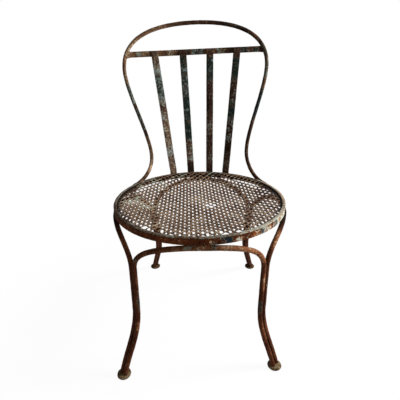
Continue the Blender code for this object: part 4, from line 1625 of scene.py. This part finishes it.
@dataclass
class Rivets:
    """Domed rivets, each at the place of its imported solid."""

    finishes: Palette
    nodes: tuple[str, ...] = field(default_factory=lambda: tuple(
        sorted(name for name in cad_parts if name.endswith("_rivet"))))
    head_radius: float = 0.0040
    head_height: float = 0.0020
    shank_radius: float = 0.0022
    # Share of the head's radius, and height over the face that the head lies on
    dome: Rows = ((1.0, -0.0002), (0.98, 0.0005), (0.86, 0.0011), (0.62, 0.0017))
    crown: float = 0.30
    points: int = 20
    dents: Triple = (0.00018, 300, 0.0)
    cover: float = 0.12

    def _axis(self, node: str) -> tuple[Vector, Vector, float]:
        """Middle, direction and half length of a packed rivet.

        Args:
            node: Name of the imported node.

        Returns:
            The middle measured from the seat's axis, the unit direction of the
            shank, and half the length over both heads.
        """
        points = np.array([vert.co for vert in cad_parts[node].data.vertices])
        middle = (points.max(0) + points.min(0)) / 2
        points = points - points.mean(0)
        direction = np.linalg.svd(points, full_matrices=False)[2][0]
        along = points @ direction
        return Vector(middle) - PLAN.seat_centre, Vector(direction), float(along.max() - along.min()) / 2

    def build(self) -> None:
        """Make every rivet."""
        *dents, seed = self.dents
        for index, node in enumerate(self.nodes):
            middle, direction, half = self._axis(node)
            seat = half - self.head_height
            upper = [(self.shank_radius, seat + self.dome[0][1]),
                     *((self.head_radius * share, seat + rise) for share, rise in self.dome),
                     (self.head_radius * self.crown, half)]
            profile = [(radius, -height) for radius, height in upper[::-1]] + upper
            place = Matrix.Translation(middle) @ direction.to_track_quat("Z", "Y").to_matrix().to_4x4()
            rings = [[place @ point for point in ring] for ring in revolved(profile, self.points)]
            rivet = Piece(node + "_dome", rings, [(*dents, seed + index)])
            on_band = node.startswith("splice")
            # Splice rivets are darkened more: painted shade round the band, and dirt
            finish, dirt = (self.finishes.band, 0.50) if on_band else (self.finishes.back, 0.20)
            rivet.place(finish, "dark_iron", Weather(self.cover, grime_and_shade=lambda point, dirt=dirt: dirt), node)


# Studio


@dataclass
class Studio:
    """Camera, floor, backdrop and soft lights."""

    eye: Triple = (0.00652, -0.78020, 0.7350)
    yaw: float = radians(-0.452)
    pitch: float = radians(-22.05)
    roll: float = radians(-0.959)
    lens: float = 28.8
    shift: tuple[float, float] = (0.0011, -0.0073)
    floor_size: float = 8.0
    shadow_share: float = 0.05
    shadow_reach: tuple[float, float] = (0.35, 0.80)
    room_light: float = 0.11
    aim: Triple = (0, 0, 0.42)
    # Name, place, width of the face in metres and power in watts of each lamp
    lamps: tuple[tuple[str, Triple, float, float], ...] = (
        ("key", (2.08, -0.05, 1.50), 0.6, 114.0), ("fill", (0.2, -2.2, 1.4), 1.2, 12.0),
        ("back", (0.9, 2.2, 1.3), 1.4, 12.0))

    def _add(self, name: str, data: bpy.types.ID, place: Matrix | None = None) -> bpy.types.Object:
        """Put an object into the scene.

        Args:
            name: Name of the object.
            data: Its camera, mesh or light.
            place: Where it stands, if not at the origin.

        Returns:
            The object.
        """
        obj = bpy.data.objects.new(name, data)
        if place is not None:
            obj.matrix_world = place
        bpy.context.scene.collection.objects.link(obj)
        return obj

    def _camera(self) -> None:
        """Make the camera at the photograph's place."""
        data = bpy.data.cameras.new("view")
        data.lens = self.lens
        data.sensor_width = 36.0
        data.shift_x, data.shift_y = self.shift
        data.clip_start = 0.01
        forward = Vector((sin(self.yaw) * cos(self.pitch), cos(self.yaw) * cos(self.pitch), sin(self.pitch)))
        level = forward.cross(AXIS_Z).normalized()
        right = level * cos(self.roll) + level.cross(forward) * sin(self.roll)
        turn = Matrix((right, right.cross(forward), -forward)).transposed().to_4x4()
        place = Matrix.Translation(Vector(self.eye) + PLAN.seat_centre) @ turn
        bpy.context.scene.camera = self._add("view", data, place)

    def _floor(self) -> None:
        """Make the pale floor, which shows white but keeps a faint shadow."""
        half = self.floor_size / 2
        data = bpy.data.meshes.new("floor")
        corners = [(-half, -half, 0), (half, -half, 0), (half, half, 0), (-half, half, 0)]
        data.from_pydata(corners, [], [(0, 1, 2, 3)])
        floor = self._add("floor", data)
        graph = Graph(bpy.data.materials.new("pale floor"))
        away = graph.add("ShaderNodeVectorMath", {"operation": "LENGTH"}, {0: graph.point()})
        near = 1 - Value(graph, away.outputs["Value"]).step(*self.shadow_reach)
        matte = graph.add("ShaderNodeBsdfDiffuse", None, {"Color": PALE})
        white = graph.add("ShaderNodeEmission", None, {"Color": WHITE, "Strength": 1.0})
        self._blend(graph, graph.seen_directly() * (1 - near * self.shadow_share), matte, white, "Material")
        data.materials.append(graph.owner)

    def _world(self) -> None:
        """Light the room softly and show it white to the camera."""
        graph = Graph(bpy.data.worlds.new("room"))
        room, white = (graph.add("ShaderNodeBackground", None, {"Color": WHITE, "Strength": strength})
                       for strength in (self.room_light, 1.0))
        self._blend(graph, graph.seen_directly(), room, white, "World")
        bpy.context.scene.world = graph.owner

    def _blend(self, graph: Graph, share: Value, lit: bpy.types.Node, white: bpy.types.Node,
               kind: str) -> None:
        """Finish a tree that shows one shader to the camera and another to the light.

        Args:
            graph: The tree.
            share: 1 where the white shader shows.
            lit: Shader that the light meets.
            white: Shader that the camera sees.
            kind: Material or World.
        """
        blend = graph.add("ShaderNodeMixShader", None, {0: share, 1: lit.outputs[0], 2: white.outputs[0]})
        graph.add("ShaderNodeOutput" + kind, None, {"Surface": blend.outputs[0]})

    def _lamp(self, name: str, place: Triple, size: float, power: float) -> None:
        """Make one soft lamp that faces the seat.

        Args:
            name: Name of the lamp.
            place: Where it hangs.
            size: Width of its face.
            power: Its power in watts.
        """
        data = bpy.data.lights.new(name, "AREA")
        data.shape = "SQUARE"
        data.size = size
        data.energy = power
        turn = (Vector(self.aim) - Vector(place)).to_track_quat("-Z", "Y").to_matrix().to_4x4()
        self._add(name, data, Matrix.Translation(place) @ turn)

    def build(self) -> None:
        """Make the camera, the floor and the lights."""
        self._camera()
        self._floor()
        self._world()
        for lamp in self.lamps:
            self._lamp(*lamp)
        bpy.context.scene.view_settings.view_transform = "Standard"


def main() -> None:
    """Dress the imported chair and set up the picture."""
    logging.basicConfig(level=logging.INFO, format="%(message)s")
    Studio().build()
    finishes = Palette()
    for part in (SeatRing(finishes), SeatMesh(finishes), Legs(finishes), Back(finishes), Rivets(finishes)):
        part.build()
        LOG.info("%s is done", type(part).__name__)


if __name__ == "__main__":
    main()
